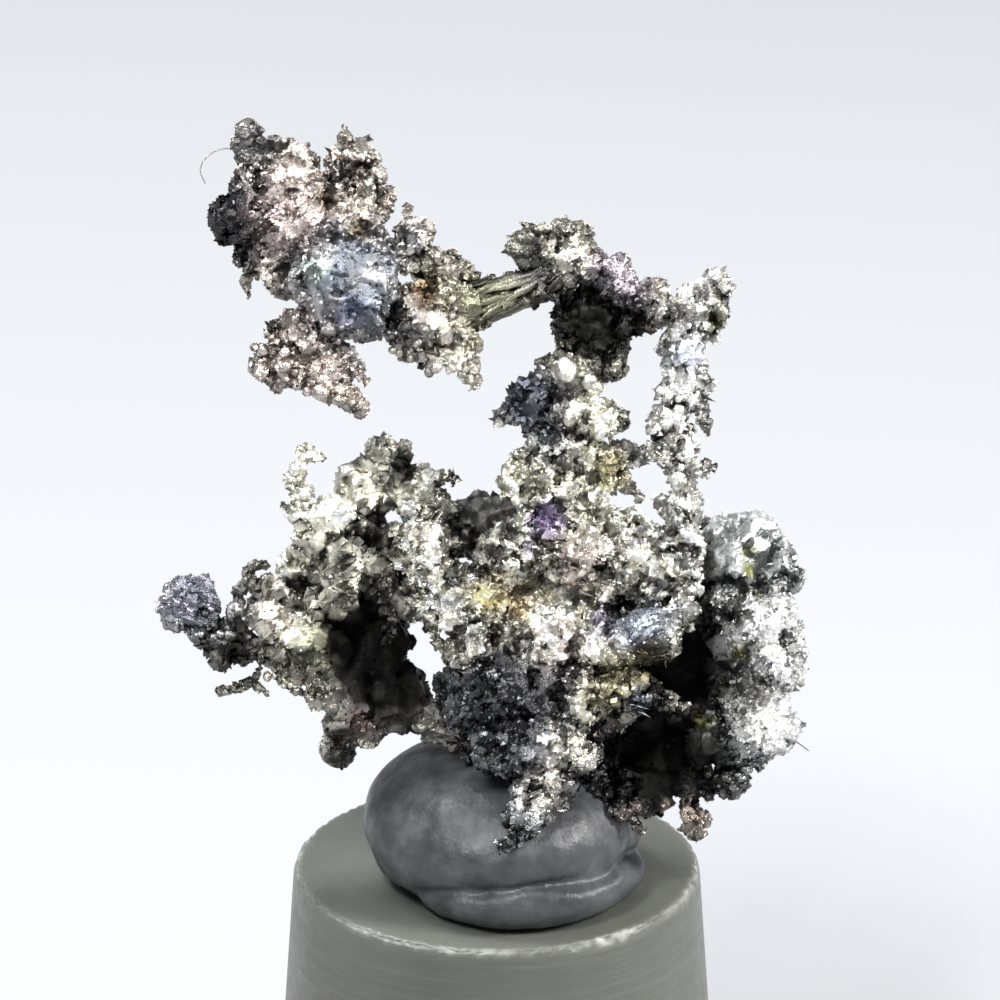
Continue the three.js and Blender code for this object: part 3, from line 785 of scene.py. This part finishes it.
FINE_FORMS = {
    "crown": [
        twig([(-2.9, 8.2, 0.1), (-2.75, 8.55, 0.15), (-2.72, 8.85, 0.15)], 0.12, 0.04),
        twig([(-5.2, 9.2, 0.4), (-5.0, 9.6, 0.5), (-5.1, 9.95, 0.5)], 0.14, 0.04),
        twig([(-7.4, 6.9, 0.1), (-7.6, 6.5, 0.2), (-7.5, 6.1, 0.2)], 0.14, 0.05),
        twig([(-4.6, 3.4, 1.1), (-4.2, 3.3, 1.1), (-4.1, 3.1, 1.1)], 0.12, 0.04),
        blade((-1.45, 5.2, 0.65), (1.5, 0.55, 0.12), -70),
        blade((-2.4, 4.6, 0.65), (1.2, 0.4, 0.12), -32),
    ],
    "arch": [
        twig([(-1.6, 5.6, 0.05), (-0.5, 5.85, 0.1), (0.7, 6.25, 0.05), (2.1, 6.5, -0.1)], 0.55, 0.42),
        twig([(1.2, 6.4, 0.0), (1.1, 6.0, 0.1), (1.05, 5.6, 0.1)], 0.13, 0.04),
        twig([(2.0, 6.3, 0.0), (1.75, 5.9, 0.1), (1.6, 5.5, 0.1)], 0.16, 0.05),
    ],
    "centre_column": [
        blade((0.95, 3.05, 0.35), (1.0, 0.35, 0.12), 58),
        blade((0.35, 2.6, 0.25), (0.6, 0.3, 0.12), 15),
        blade((3.1, 2.5, 0.35), (0.8, 0.35, 0.12), -8),
        blade((1.9, 0.2, 0.3), (1.5, 0.7, 0.22), 80),
    ],
    "right_column": [
        blade((5.5, 5.8, 0.2), (1.05, 0.4, 0.22), 6),
        blade((5.25, 4.1, 0.25), (0.85, 0.55, 0.22), 82),
        blade((5.2, 1.9, 0.2), (0.95, 0.42, 0.2), 96),
        blade((5.4, -0.4, 0.2), (1.2, 0.42, 0.2), 88),
        blade((6.0, 3.9, 0.2), (0.75, 0.2, 0.1), -62),
        blade((6.05, 2.9, 0.2), (0.6, 0.14, 0.08), -70),
        blade((5.9, 1.0, 0.2), (0.6, 0.16, 0.1), 12),
    ],
    "left_arm": [
        twig([(-7.7, -3.5, -1.2), (-7.9, -2.9, -1.2), (-7.75, -2.55, -1.2)], 0.16, 0.08),
        twig([(-5.9, -4.9, -1.0), (-5.6, -5.4, -0.8), (-5.1, -5.9, -0.8)], 0.16, 0.08),
        twig([(-5.7, -2.9, -0.9), (-5.3, -3.7, -0.7), (-5.1, -5.1, -0.8)], 0.14, 0.1),
        twig([(-9.6, -3.9, -0.7), (-9.0, -4.2, -0.6), (-8.1, -4.1, -0.7), (-7.8, -3.5, -0.9)], 0.14, 0.12),
        blade((-4.4, -3.1, -1.9), (0.9, 0.6, 0.4)),
        blade((-4.5, -5.7, -1.8), (0.7, 0.9, 0.4)),
        blade((-5.4, -2.3, -1.3), (0.6, 0.5, 0.3)),
        blade((-6.35, -5.0, -1.45), (0.95, 0.55, 0.28), -25),
        blade((-6.3, -3.9, -0.5), (1.2, 0.6, 0.16), -25),
        blade((-6.9, -3.5, -0.65), (0.8, 0.35, 0.14), 10),
    ],
    "left_spray": [
        twig([(-5.9, 1.2, -0.6), (-5.6, 1.25, -0.55), (-5.45, 1.15, -0.5)], 0.16, 0.1),
        twig([(-6.2, 0.6, -0.6), (-6.45, 0.75, -0.6), (-6.5, 0.8, -0.6)], 0.12, 0.08),
        twig([(-4.5, -0.6, -1.0), (-4.0, -0.75, -0.8), (-3.85, -1.05, -0.8)], 0.18, 0.12),
        twig([(-4.2, -1.6, -0.7), (-3.5, -2.0, -0.6), (-3.3, -2.8, -0.6), (-3.5, -4.0, -0.6)], 0.14, 0.09),
        blade((-3.95, 0.75, -0.95), (1.35, 0.52, 0.18), 64),
        blade((-5.3, -0.7, -0.15), (1.2, 0.55, 0.18), 40),
        blade((-4.75, -2.2, 0.05), (1.0, 0.48, 0.16), -78),
    ],
    "right_boss": [
        blade((6.1, -2.9, -2.6), (1.0, 0.9, 0.6)),
        blade((6.6, -5.2, -1.6), (0.6, 0.6, 0.4)),
        blade((5.7, -6.3, -2.2), (1.0, 0.9, 0.6)),
        blade((4.5, -6.4, -1.7), (0.8, 0.8, 0.5)),
        blade((4.6, -8.5, -1.4), (1.0, 0.45, 0.4)),
        blade((4.2, -8.95, -1.35), (1.2, 0.5, 0.35), 8),
    ],
    "body": [
        twig([(-1.9, 0.6, -1.5), (-1.5, 0.75, -1.5), (-1.35, 0.5, -1.5)], 0.14, 0.1),
        twig([(-1.7, -0.3, -1.0), (-1.1, -0.7, -0.9), (-0.65, -1.15, -0.8)], 0.2, 0.16),
        blade((-2.6, -2.4, -1.7), (0.6, 0.6, 0.3)),
        blade((-2.1, -1.7, 0.15), (1.2, 0.55, 0.15), -60),
        blade((2.4, -1.8, 0.7), (1.0, 0.3, 0.12), 5),
        blade((4.0, -1.9, 0.6), (0.9, 0.25, 0.12), -10),
    ],
}

# Single threads and their brightness: a curled white fibre and a dark hair, thinner than the grain
FIBRE = [(-7.7, 10.5, -0.4), (-8.3, 10.55, -0.3), (-8.8, 10.3, -0.2), (-9.0, 9.9, -0.2), (-8.85, 9.5, -0.2)]
HAIR = [(8.6, -7.1, -0.9), (8.95, -7.3, -0.9), (9.3, -7.55, -0.9)]
THREADS = {
    "crown": (twig(FIBRE, 0.022, 0.014), 1.0),
    "right_boss": (twig(HAIR, 0.022, 0.012), 0.06),
}

# Rows of bright round beads along the front: (across, up) of the line's points, size, count
BEAD_ROWS = {
    "crown": [
        ([(-3.3, 4.5), (-2.2, 4.0), (-0.9, 3.6)], 0.1, 18),
        ([(-1.4, 6.9), (-1.3, 5.6), (-0.9, 4.2)], 0.08, 16),
        ([(-7.2, 4.2), (-6.4, 3.9), (-5.4, 3.3), (-4.3, 2.7)], 0.13, 16),
        ([(-7.2, 4.6), (-6.1, 4.1), (-5.9, 4.0)], 0.14, 5),
        ([(-7.9, 9.3), (-6.8, 10.3)], 0.09, 10),
        ([(-4.9, 10.4), (-4.0, 10.2), (-3.5, 9.2)], 0.09, 14),
    ],
    "centre_column": [
        ([(1.9, 4.2), (2.0, 3.5)], 0.2, 5),
        ([(2.6, 4.2), (2.8, 3.4), (2.9, 2.9)], 0.17, 8),
        ([(1.7, 2.5), (2.6, 2.4), (3.5, 2.5)], 0.15, 10),
        ([(0.2, 1.2), (0.3, 0.4), (0.6, -0.4)], 0.09, 14),
    ],
    "right_column": [
        ([(5.2, 4.0), (5.3, 2.6), (4.8, 2.2)], 0.13, 14),
        ([(5.5, 1.6), (5.4, 0.0), (5.5, -1.8)], 0.12, 20),
    ],
    "left_spray": [
        ([(-5.8, 1.5), (-6.2, 0.7), (-6.0, 0.2), (-6.3, -0.6)], 0.12, 18),
        ([(-4.8, -0.3), (-4.1, -0.9)], 0.13, 8),
        ([(-5.9, -2.1), (-5.8, -2.4)], 0.16, 2),
        ([(-3.4, -2.2), (-3.2, -3.0), (-3.4, -4.1)], 0.07, 16),
    ],
    "left_arm": [
        ([(-9.9, -3.8), (-9.0, -4.0), (-8.0, -4.1)], 0.1, 14),
        ([(-9.8, -3.0), (-9.2, -3.4), (-8.6, -3.2)], 0.09, 12),
        ([(-6.9, -5.3), (-6.2, -5.7), (-5.4, -6.1)], 0.1, 12),
    ],
    "body": [
        ([(-2.0, -0.9), (-1.9, -2.2), (-2.2, -3.2)], 0.09, 16),
        ([(0.9, -2.6), (1.6, -3.4), (2.6, -4.0)], 0.09, 16),
        ([(2.0, -5.3), (3.2, -5.6), (4.6, -5.9)], 0.09, 16),
    ],
    "right_boss": [([(6.3, -8.3), (6.9, -8.3), (7.6, -8.1)], 0.12, 12)],
    "keel": [([(2.0, -7.2), (2.4, -7.8), (1.6, -8.6)], 0.09, 14)],
}


def fine_skin(name):
    """The branch's solid and fine forms as one even skin, in mm."""
    solid = arrays_of(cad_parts[name].data, 1 / MM)
    voxel = max(SILVER_VOXEL, math.sqrt(TRIANGLES_PER_CELL * area_of(*solid) / SKIN_TRIANGLES))
    return remeshed(*joined([solid, *FINE_FORMS.get(name, [])]), voxel, 1)


def flattened(verts, faces, seeds, facing, tilt, height, limit):
    """The skin brought round each seed to the seed's own tilted plane: (vertices, seed of each)."""
    aims = unit(facing + tilt[:, None] * random_units(len(seeds)))
    tree = kdtree.KDTree(len(seeds))
    for i, seed in enumerate(seeds.tolist()):
        tree.insert(seed, i)
    tree.balance()
    near = np.array([tree.find(p)[1] for p in verts.tolist()])
    normals = normals_of(verts, faces)
    slope = np.maximum((normals * aims[near]).sum(axis=1), 0.5)
    raised = seeds + height[:, None] * facing
    shift = ((raised[near] - verts) * aims[near]).sum(axis=1) / slope
    shift[tilt[near] == 0] = 0
    return verts + normals * np.clip(shift, -limit, limit)[:, None], near


class Skin:
    """One branch's skin, cut into plates and small faces, on which its crystals grow."""

    # Depths in mm: the skin is set in where it is free, swells where two branches meet, and has pits
    INSET = 0.08
    JOINT_SWELL = 0.1
    PIT = 0.16
    # How far cutting a plate or a small face may move the skin, in mm
    PLATE_LIMIT = 0.16
    FACE_LIMIT = 0.12
    # Half the width of the square in which the front of the skin is looked for, in mm
    SPOT = 0.09

    def __init__(self, branch, verts, faces, crowding):
        self.branch = branch
        self.faces = faces
        self.crowding = crowding
        self.verts = verts + normals_of(verts, faces) * self.relief(verts)[:, None]
        self.plate = np.ones(len(verts))
        self.area = area_of(self.verts, faces)
        self.plate = self.cut_plates()
        self.bright = self.plate * self.cut_faces()
        self.normals = normals_of(self.verts, faces)
        self.finish = finish_at(self.verts, self.normals, branch)
        self.share = self.crystal_share()

    def relief(self, verts):
        """Soft relief, set back where the skin is free and pushed out where it meets another branch."""
        soft = 0.08 * noise_at(verts, 1.1) + 0.06 * noise_at(verts, 2.6, 7.0)
        joint = self.crowding.meets(verts, self.branch)
        return soft + np.where(joint, self.JOINT_SWELL, -self.INSET)

    def places(self, key, share=1.0):
        """Random places, as many as each finish asks for: (points, normals, finish, plate brightness)."""
        densest = max(finish[key] for finish in FINISHES.values())
        points, facing, vertex = surface_points(self.verts, self.faces, int(self.area * densest * share))
        finish = finish_at(points, facing, self.branch)
        kept = rng.random(len(points)) * densest < finish_value(finish, key)
        return points[kept], facing[kept], finish[kept], self.plate[vertex[kept]]

    def cut_plates(self):
        """Cuts broad tilted plates, with painted light where they stand out and painted shade where they
        lie deep.
        """
        seeds, facing, finish, _ = self.places("plates")
        rise = rng.uniform(-1, 1, len(seeds))
        height = finish_value(finish, "plate_step") * rise
        tilt = finish_value(finish, "plate_tilt")
        self.verts, near = flattened(self.verts, self.faces, seeds, facing, tilt, height, self.PLATE_LIMIT)
        contrast = finish_value(finish, "contrast")
        # Painted light and shade: raised plates are made lighter and sunk ones darker, with random tone on
        # top
        bright = 1 + contrast * (0.7 * rise + rng.uniform(-0.8, 0.5, len(seeds)))
        return np.clip(bright, 0.15, 1.5)[near]

    def cut_faces(self):
        """Cuts small crystal faces, some of them dark, some sunk as pits with painted shade: the brightness
        of each.
        """
        seeds, facing, finish, _ = self.places("faces")
        height = finish_value(finish, "step") * rng.uniform(-1, 1, len(seeds))
        tone = finish_value(finish, "skin") * rng.uniform(0.7, 1.25, len(seeds))
        tone[rng.random(len(seeds)) < 0.5 * finish_value(finish, "dark")] *= 0.4
        pit = rng.random(len(seeds)) < finish_value(finish, "pits")
        height[pit] = -self.PIT
        # Pits are painted nearly black: painted shade in the pits
        tone[pit] = 0.08
        tilt = finish_value(finish, "tilt")
        self.verts, near = flattened(self.verts, self.faces, seeds, facing, tilt, height, self.FACE_LIMIT)
        return tone[near]

    def crystal_share(self):
        """The share of the finishes' crystals that keeps the branch within its count of triangles."""
        wanted = sum(len(kind["template"][1]) * finish_value(self.finish, key).mean() * self.area
                     for key, kind in CRYSTALS.items())
        return min(1.0, (PIECE_TRIANGLES - len(self.faces)) / (OPEN_SHARE * wanted))

    def crust(self):
        """The skin as a crust part, smooth-shaded where its finish is soft."""
        soft = [FINISH_NAMES.index(name) for name in ("smooth", "hollow_painted_shade")]
        rounded = np.isin(self.finish, soft)[self.faces].all(axis=1)
        gloss = finish_value(self.finish, "gloss")
        return self.verts, self.faces, self.normals, self.bright, gloss, rounded

    def front(self, spots):
        """The frontmost vertex at each (across, up) spot that lies on the skin."""
        silver = to_silver(self.verts)
        found = []
        for spot in spots:
            close = np.flatnonzero(np.abs(silver[:, :2] - spot).max(axis=1) < self.SPOT)
            if len(close):
                found.append(close[silver[close, 2].argmax()])
        return np.array(found, int)


# Crystals that grow all over: half sizes come from the finish, times random factors for each axis

CRYSTALS = {
    "beads": dict(
        template=BEAD, size="bead", spread=0.45, low=0.75, high=1.25, lean=0.7, lift=0.3, gloss=0.8,
    ),
    "blocks": dict(
        template=BLOCK, size="block", spread=0.3, low=0.6, high=1.3, lean=0.7, lift=0.3, gloss=1.0,
    ),
    "leaves": dict(
        template=OCTAHEDRON, size="leaf", spread=0.4, low=(0.1, 0.3, 0.9), high=(0.22, 0.7, 1.1),
        lean=0.9, lift=0.45, gloss=0.8,
    ),
    "grains": dict(
        template=TETRAHEDRON, size="grain", spread=0.3, low=0.7, high=1.3, lean=0.8, lift=0.35, gloss=1.0,
    ),
}

# The share of crystals that the deepest gaps lose, and about the share that a whole branch keeps
GAP_LOSS = 0.6
OPEN_SHARE = 0.8

# Roughness of the crystals and forms that stand out of the skin
NEEDLE_GLOSS = 0.22
BEAD_ROW_GLOSS = 0.25
FORM_GLOSS = 0.27
SHELL_GRAIN_GLOSS = 0.3


def grown(template, places, facing, sizes, turns, bright, gloss, smooth=False):
    """Crystals as a crust part: (vertices, faces, normals, brightness, gloss, smooth faces)."""
    verts, faces = copies(template, places, sizes, turns)
    corners = len(template[0])
    gloss = np.broadcast_to(gloss, len(places))
    return (verts, faces, np.repeat(facing, corners, axis=0), np.repeat(bright, corners),
            np.repeat(gloss, corners), np.full(len(faces), smooth))


def sparkle(places, finish):
    """A brightness for each crystal: most are bright, and dark ones keep together in clusters."""
    bright = rng.uniform(0.85, 1.4, len(finish))
    share = finish_value(finish, "dark") * np.clip(1 + 1.6 * noise_at(places, 1.8, 12.0), 0.1, 2.2)
    dark = rng.random(len(finish)) < share
    bright[dark] = rng.uniform(0.08, 0.4, dark.sum())
    return bright


def crystals_on(skin, key):
    """One kind of crystal over a whole skin."""
    kind = CRYSTALS[key]
    places, facing, finish, plate = skin.places(key, skin.share)
    kept = rng.random(len(places)) > GAP_LOSS * skin.crowding.shade(places, facing)
    places, facing, finish, plate = places[kept], facing[kept], finish[kept], plate[kept]
    count = len(places)
    size = finish_value(finish, kind["size"]) * np.exp(kind["spread"] * rng.normal(size=count))
    sizes = size[:, None] * rng.uniform(kind["low"], kind["high"], (count, 3))
    aims = unit(facing + kind["lean"] * random_units(count))
    centres = places + kind["lift"] * size[:, None] * aims
    # Each crystal takes part of its plate's brightness, the plate's painted light and shade with it
    bright = sparkle(places, finish) * (0.35 + 0.65 * plate)
    gloss = finish_value(finish, "gloss") * kind["gloss"]
    return grown(kind["template"], centres, facing, sizes, turns_towards(aims), bright, gloss)


def needles_on(skin):
    """Long crystals that lie side by side where the silver is ridged."""
    parts = []
    for at, radius, direction, density, length, width in RIDGED.get(skin.branch, []):
        places, facing, _ = surface_points(skin.verts, skin.faces, int(skin.area * density))
        inside = distance_to(to_silver(places), at) < radius
        places, facing = places[inside], facing[inside]
        count = len(places)
        along = unit(np.tile(LEAN_MATRIX @ direction, (count, 1)) + 0.14 * random_units(count))
        sizes = rng.uniform(0.5, 1.3, (count, 3)) * (width, width, length)
        bright = rng.choice([0.25, 0.6, 1.0, 1.35], count)
        parts.append(grown(OCTAHEDRON, places + 0.2 * width * facing, facing, sizes, turns_towards(along),
                           bright, NEEDLE_GLOSS))
    return parts


def bead_rows_on(skin):
    """Rows of large bright beads on the front of a skin."""
    parts = []
    for line, size, count in BEAD_ROWS.get(skin.branch, []):
        line = smooth_line([(across, up, 0) for across, up in line])[:, :2]
        along = np.sort(rng.uniform(0, len(line) - 1, count))
        spots = np.column_stack([np.interp(along, np.arange(len(line)), axis) for axis in line.T])
        found = skin.front(spots + 0.05 * rng.normal(size=spots.shape))
        sizes = size * np.exp(0.3 * rng.normal(size=len(found)))
        facing = skin.normals[found]
        parts.append(grown(ROUND_BEAD, skin.verts[found] + 0.3 * sizes[:, None] * facing, facing,
                           sizes[:, None] * rng.uniform(0.75, 1.3, (len(found), 3)),
                           turns_towards(random_units(len(found))), rng.uniform(1.1, 1.5, len(found)),
                           BEAD_ROW_GLOSS, smooth=True))
    return parts


def smooth_part(verts, faces, bright):
    """A smooth closed form as a crust part."""
    return (verts, faces, normals_of(verts, faces), np.full(len(verts), bright),
            np.full(len(verts), FORM_GLOSS), np.full(len(faces), True))


# A curved shell of ridged silver at the right of the body
SHELL_AT = (4.35, -4.05, 0.62)
SHELL_HALF = (1.2, 0.85, 0.5)
SHELL_DEGREES = 16
SHELL_RIDGES = 4.5
SHELL_GRAINS = 260


def ridged_shell():
    """The shell and the grains on it as crust parts, its ridges running along it."""
    verts, faces = ball(5)
    long, short, _ = verts.T
    bend = short + 0.12 * long**2 + 0.45 * noise_at(verts, 1.2, 3.0) + 0.06 * noise_at(verts, 5.0)
    ridge = np.abs(np.sin(math.pi * SHELL_RIDGES * bend)) * (0.6 + 0.7 * noise_at(verts, 2.5, 8.0))
    uneven = 0.1 * noise_at(verts, 1.7) + 0.05 * noise_at(verts, 7.0)
    shape = verts * (0.96 + 0.06 * ridge + uneven)[:, None]
    placed = laid(shape, SHELL_AT, SHELL_HALF, SHELL_DEGREES)
    # Painted light and shade: the ridge crests are painted bright and the grooves between them dark
    shell = smooth_part(placed, faces, 0.25 + 1.7 * np.clip(ridge, 0, 1) ** 3)
    places, facing, _ = surface_points(placed, faces, SHELL_GRAINS)
    grains = grown(TETRAHEDRON, places, facing, rng.uniform(0.02, 0.07, (SHELL_GRAINS, 3)),
                   turns_towards(random_units(SHELL_GRAINS)), rng.uniform(0.3, 2.4, SHELL_GRAINS),
                   SHELL_GRAIN_GLOSS)
    return [shell, grains]


def extras_on(branch):
    """Forms that only one branch has, as crust parts."""
    extras = []
    if branch in THREADS:
        thread, bright = THREADS[branch]
        extras.append(smooth_part(*thread, bright))
    if branch == "arch":
        extras += [smooth_part(*strand, rng.choice(STRAND_BRIGHT)) for strand in BRIDGE_STRANDS]
    if branch == "body":
        extras += ridged_shell()
    return extras


def silver_piece(skin):
    """One branch with its crystals, painted, in place of its solid."""
    branch = skin.branch
    parts = [skin.crust(), *(crystals_on(skin, key) for key in CRYSTALS)]
    parts += needles_on(skin) + bead_rows_on(skin) + extras_on(branch)
    verts, faces = joined([part[:2] for part in parts])
    normals, bright, gloss, smooth = (np.concatenate([part[i] for part in parts]) for i in (2, 3, 4, 5))
    colours = tint_of(verts, normals, branch, skin.crowding) * bright[:, None]
    piece = mesh_object(branch + "_grown", verts * MM, faces)
    piece.data.polygons.foreach_set("use_smooth", smooth)
    paint(piece, np.clip(colours, 0.006, 1), gloss)
    piece.data.materials.append(SILVER)
    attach(piece, "root")
    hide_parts(branch)


# Putty and peg


def putty_ball(at, half, seed):
    """A slightly uneven flattened ball on top of the peg, in mm."""
    verts, faces = ball(5)
    verts *= (1 + 0.05 * noise_at(verts, 1.3, seed))[:, None]
    verts = verts * half + at
    verts[:, 2] = np.maximum(verts[:, 2], 0.03) + PEG_HEIGHT
    return verts, faces


PUTTY_AT = (0.2, -0.85, 1.85)
PUTTY_HALF = (4.25, 4.15, 2.5)
LIP_AT = (0.7, -1.75, 0.85)
LIP_HALF = (3.65, 3.5, 1.45)


def reach_of(verts, at, half):
    """1 on a flattened ball on the peg, less inside it and more outside."""
    return np.linalg.norm((verts - (0, 0, PEG_HEIGHT) - at) / half, axis=1)


def make_putty():
    """The pressed ball, with a thick fold of putty lapped over its front."""
    verts, faces = remeshed(*joined([
        putty_ball(PUTTY_AT, PUTTY_HALF, 2.0), putty_ball(LIP_AT, LIP_HALF, 9.0),
    ]), PUTTY_VOXEL, 3)
    above = verts[:, 2] - PEG_HEIGHT
    relief = 0.06 * noise_at(verts, 0.9) + 0.025 * noise_at(verts, 2.8, 4.0)
    onto_lip = reach_of(verts, PUTTY_AT, PUTTY_HALF) - reach_of(verts, LIP_AT, LIP_HALF)
    onto_lip += 0.06 * noise_at(verts, 0.45, 3.0) + 0.03 * noise_at(verts, 1.5, 3.0)
    front = np.clip((-1.0 - verts[:, 1]) / 0.8, 0, 1)
    crease = -0.13 * np.exp(-((onto_lip / 0.045) ** 2))
    roll = 0.12 * np.exp(-(((onto_lip - 0.11) / 0.11) ** 2)) * (0.8 + 0.5 * noise_at(verts, 0.8, 5.0))
    free = np.clip(above / 0.3, 0, 1)
    verts = verts + normals_of(verts, faces) * ((relief + front * (crease + roll)) * free)[:, None]
    piece = mesh_object("putty_ball", verts * MM, faces, smooth=True)
    piece.data.materials.append(putty_material())
    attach(piece, "root")
    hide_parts("putty")


PEG_SEGMENTS = 360
SIDE_RINGS = 40
EDGE_RINGS = 8
TOP_RINGS = 30
PEG_COLOUR = (0.112, 0.116, 0.102)
# The rim's colour: frosted wear at the chips, lightened further as a painted highlight along the top edge
RIM_COLOUR = (0.6, 0.62, 0.58)
FOOT_BEVEL = 0.2
EDGE_ROUND = 0.14


def peg_profile():
    """(radius, height) from the foot's edge, up the side, over the rim, rounded by wear, and in to the
    middle.
    """
    side = np.linspace(0.25, PEG_HEIGHT - 0.3, SIDE_RINGS)
    slope = (PEG_TOP_RADIUS - PEG_FOOT_RADIUS) / PEG_HEIGHT
    profile = [(PEG_FOOT_RADIUS - FOOT_BEVEL, 0.0), (PEG_FOOT_RADIUS, FOOT_BEVEL)]
    profile += [(PEG_FOOT_RADIUS + slope * z, z) for z in side]
    for angle in np.linspace(0, math.pi / 2, EDGE_RINGS):
        turn = (1 - math.cos(angle), math.sin(angle) - 1)
        profile.append((PEG_TOP_RADIUS - EDGE_ROUND * turn[0], PEG_HEIGHT + EDGE_ROUND * turn[1]))
    profile += [(r, PEG_HEIGHT) for r in np.linspace(PEG_TOP_RADIUS - 0.27, 0.2, TOP_RINGS)]
    return np.array(profile)


def make_peg():
    """The peg, turned from its profile, with its top edge chipped."""
    rings = peg_profile()
    angles = np.arange(PEG_SEGMENTS) * 2 * math.pi / PEG_SEGMENTS
    verts = np.stack([
        rings[:, :1] * np.cos(angles), rings[:, :1] * np.sin(angles),
        np.repeat(rings[:, 1:], PEG_SEGMENTS, axis=1),
    ], axis=2).reshape(-1, 3)
    radius = np.linalg.norm(verts[:, :2], axis=1)
    from_rim = (radius - PEG_TOP_RADIUS + 0.05) / 0.09, (verts[:, 2] - PEG_HEIGHT + 0.05) / 0.1
    rim = np.exp(-from_rim[0] ** 2 - from_rim[1] ** 2)
    chip = np.abs(noise_at(verts, 2.2, 1.0)) * 0.16 + 0.1 * np.abs(noise_at(verts, 8.0, 6.0))
    verts[:, :2] *= (1 - rim * chip / np.maximum(radius, 1))[:, None]
    verts[:, 2] -= rim * chip * 0.6
    verts = np.vstack([[0, 0, 0], verts, [0, 0, PEG_HEIGHT]])
    grid = 1 + np.arange(len(rings) * PEG_SEGMENTS).reshape(len(rings), PEG_SEGMENTS)
    turned = np.roll(grid, -1, axis=1)
    a, b, c, d = grid[:-1], turned[:-1], turned[1:], grid[1:]
    walls = np.concatenate([np.stack([a, b, c], -1).reshape(-1, 3), np.stack([a, c, d], -1).reshape(-1, 3)])
    foot = np.stack([np.zeros(PEG_SEGMENTS, int), turned[0], grid[0]], -1)
    top = np.stack([grid[-1], turned[-1], np.full(PEG_SEGMENTS, len(verts) - 1)], -1)
    faces = np.concatenate([walls, foot, top])
    piece = mesh_object("peg_turned", verts * MM, faces, smooth=True)
    patchy = np.clip(0.55 + 1.2 * noise_at(verts[1:-1], 0.45, 4.0), 0.1, 1)
    patchy *= np.clip(0.6 + 1.2 * noise_at(verts[1:-1], 4.0, 2.0), 0.1, 1)
    # The rim is painted light where it is chipped: frosted wear, and a painted highlight along the top edge
    rim_wear_and_highlight = np.concatenate([[0], rim * patchy * np.clip(0.2 + chip * 6, 0, 1), [0]])[:, None]
    colours = np.array(PEG_COLOUR) * (1 - rim_wear_and_highlight) + np.array(RIM_COLOUR) * rim_wear_and_highlight
    paint(piece, colours, np.full(len(verts), 0.4))
    piece.data.materials.append(peg_material())
    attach(piece, "root")
    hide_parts("peg")


# Points for each square mm of skin, by which the crowding of the branches is told
CROWDING_POINTS = 25

SILVER = silver_material()
uncut_skins = {branch: fine_skin(branch) for branch in BRANCHES}
crowding = Crowding({
    branch: surface_points(*shape, int(CROWDING_POINTS * area_of(*shape)))[0]
    for branch, shape in uncut_skins.items()
})
for branch, shape in uncut_skins.items():
    silver_piece(Skin(branch, *shape, crowding))
make_putty()
make_peg()


# Floor, light and camera

FLOOR_COLOUR = (0.38, 0.39, 0.405, 1)
SKY_COLOUR = (0.84, 0.87, 0.92, 1)
SKY_STRENGTH = 0.28


def make_floor():
    bpy.ops.mesh.primitive_plane_add(size=2.0)
    floor = bpy.context.object
    floor.name = "floor"
    material, tree, shader = new_material("floor_pale")
    set_inputs(tree, shader, {"Base Color": FLOOR_COLOUR, "Roughness": 0.85})
    floor.data.materials.append(material)


def area_light(name, towards, distance, size, power, colour=(1, 1, 1)):
    """A square lamp that shines on the silver from a direction. Distance and size are in mm."""
    lamp = bpy.data.lights.new(name, "AREA")
    lamp.size = size * MM
    lamp.energy = power
    lamp.color = colour
    obj = bpy.data.objects.new(name, lamp)
    bpy.context.scene.collection.objects.link(obj)
    offset = Vector(towards).normalized() * distance
    obj.location = (Vector(SILVER_AT.tolist()) + offset) * MM
    obj.rotation_euler = (-offset).to_track_quat("-Z", "Y").to_euler()


def make_world():
    world = bpy.data.worlds.new("studio")
    world.use_nodes = True
    sky = world.node_tree.nodes["Background"]
    set_inputs(world.node_tree, sky, {"Color": SKY_COLOUR, "Strength": SKY_STRENGTH})
    bpy.context.scene.world = world


CAMERA_ELEVATION = math.radians(22.5)
CAMERA_DISTANCE = 250.0
FRAME_WIDTH = 30.0


def make_camera():
    """The photograph's view: square on to the lean of the silver, 30 mm wide at the silver."""
    camera = bpy.data.cameras.new("camera")
    camera.sensor_width = 36
    camera.lens = camera.sensor_width * CAMERA_DISTANCE / FRAME_WIDTH
    camera.clip_start = 0.01
    camera.clip_end = 10
    obj = bpy.data.objects.new("camera", camera)
    bpy.context.scene.collection.objects.link(obj)
    back = Vector((0, -math.cos(CAMERA_ELEVATION), math.sin(CAMERA_ELEVATION)))
    obj.location = (Vector(SILVER_AT.tolist()) + back * CAMERA_DISTANCE) * MM
    obj.rotation_euler = (-back).to_track_quat("-Z", "Y").to_euler()
    bpy.context.scene.camera = obj


make_floor()
make_world()
area_light("right", (0.83, -0.22, 0.52), 280, 60, 1.1, (1.0, 0.98, 0.95))
area_light("above", (-0.41, 0.22, 0.88), 280, 80, 1.0, (0.97, 0.98, 1.0))
area_light("front", (-0.3, -0.55, 0.78), 300, 80, 0.85)
make_camera()
bpy.context.scene.view_settings.view_transform = "Standard"
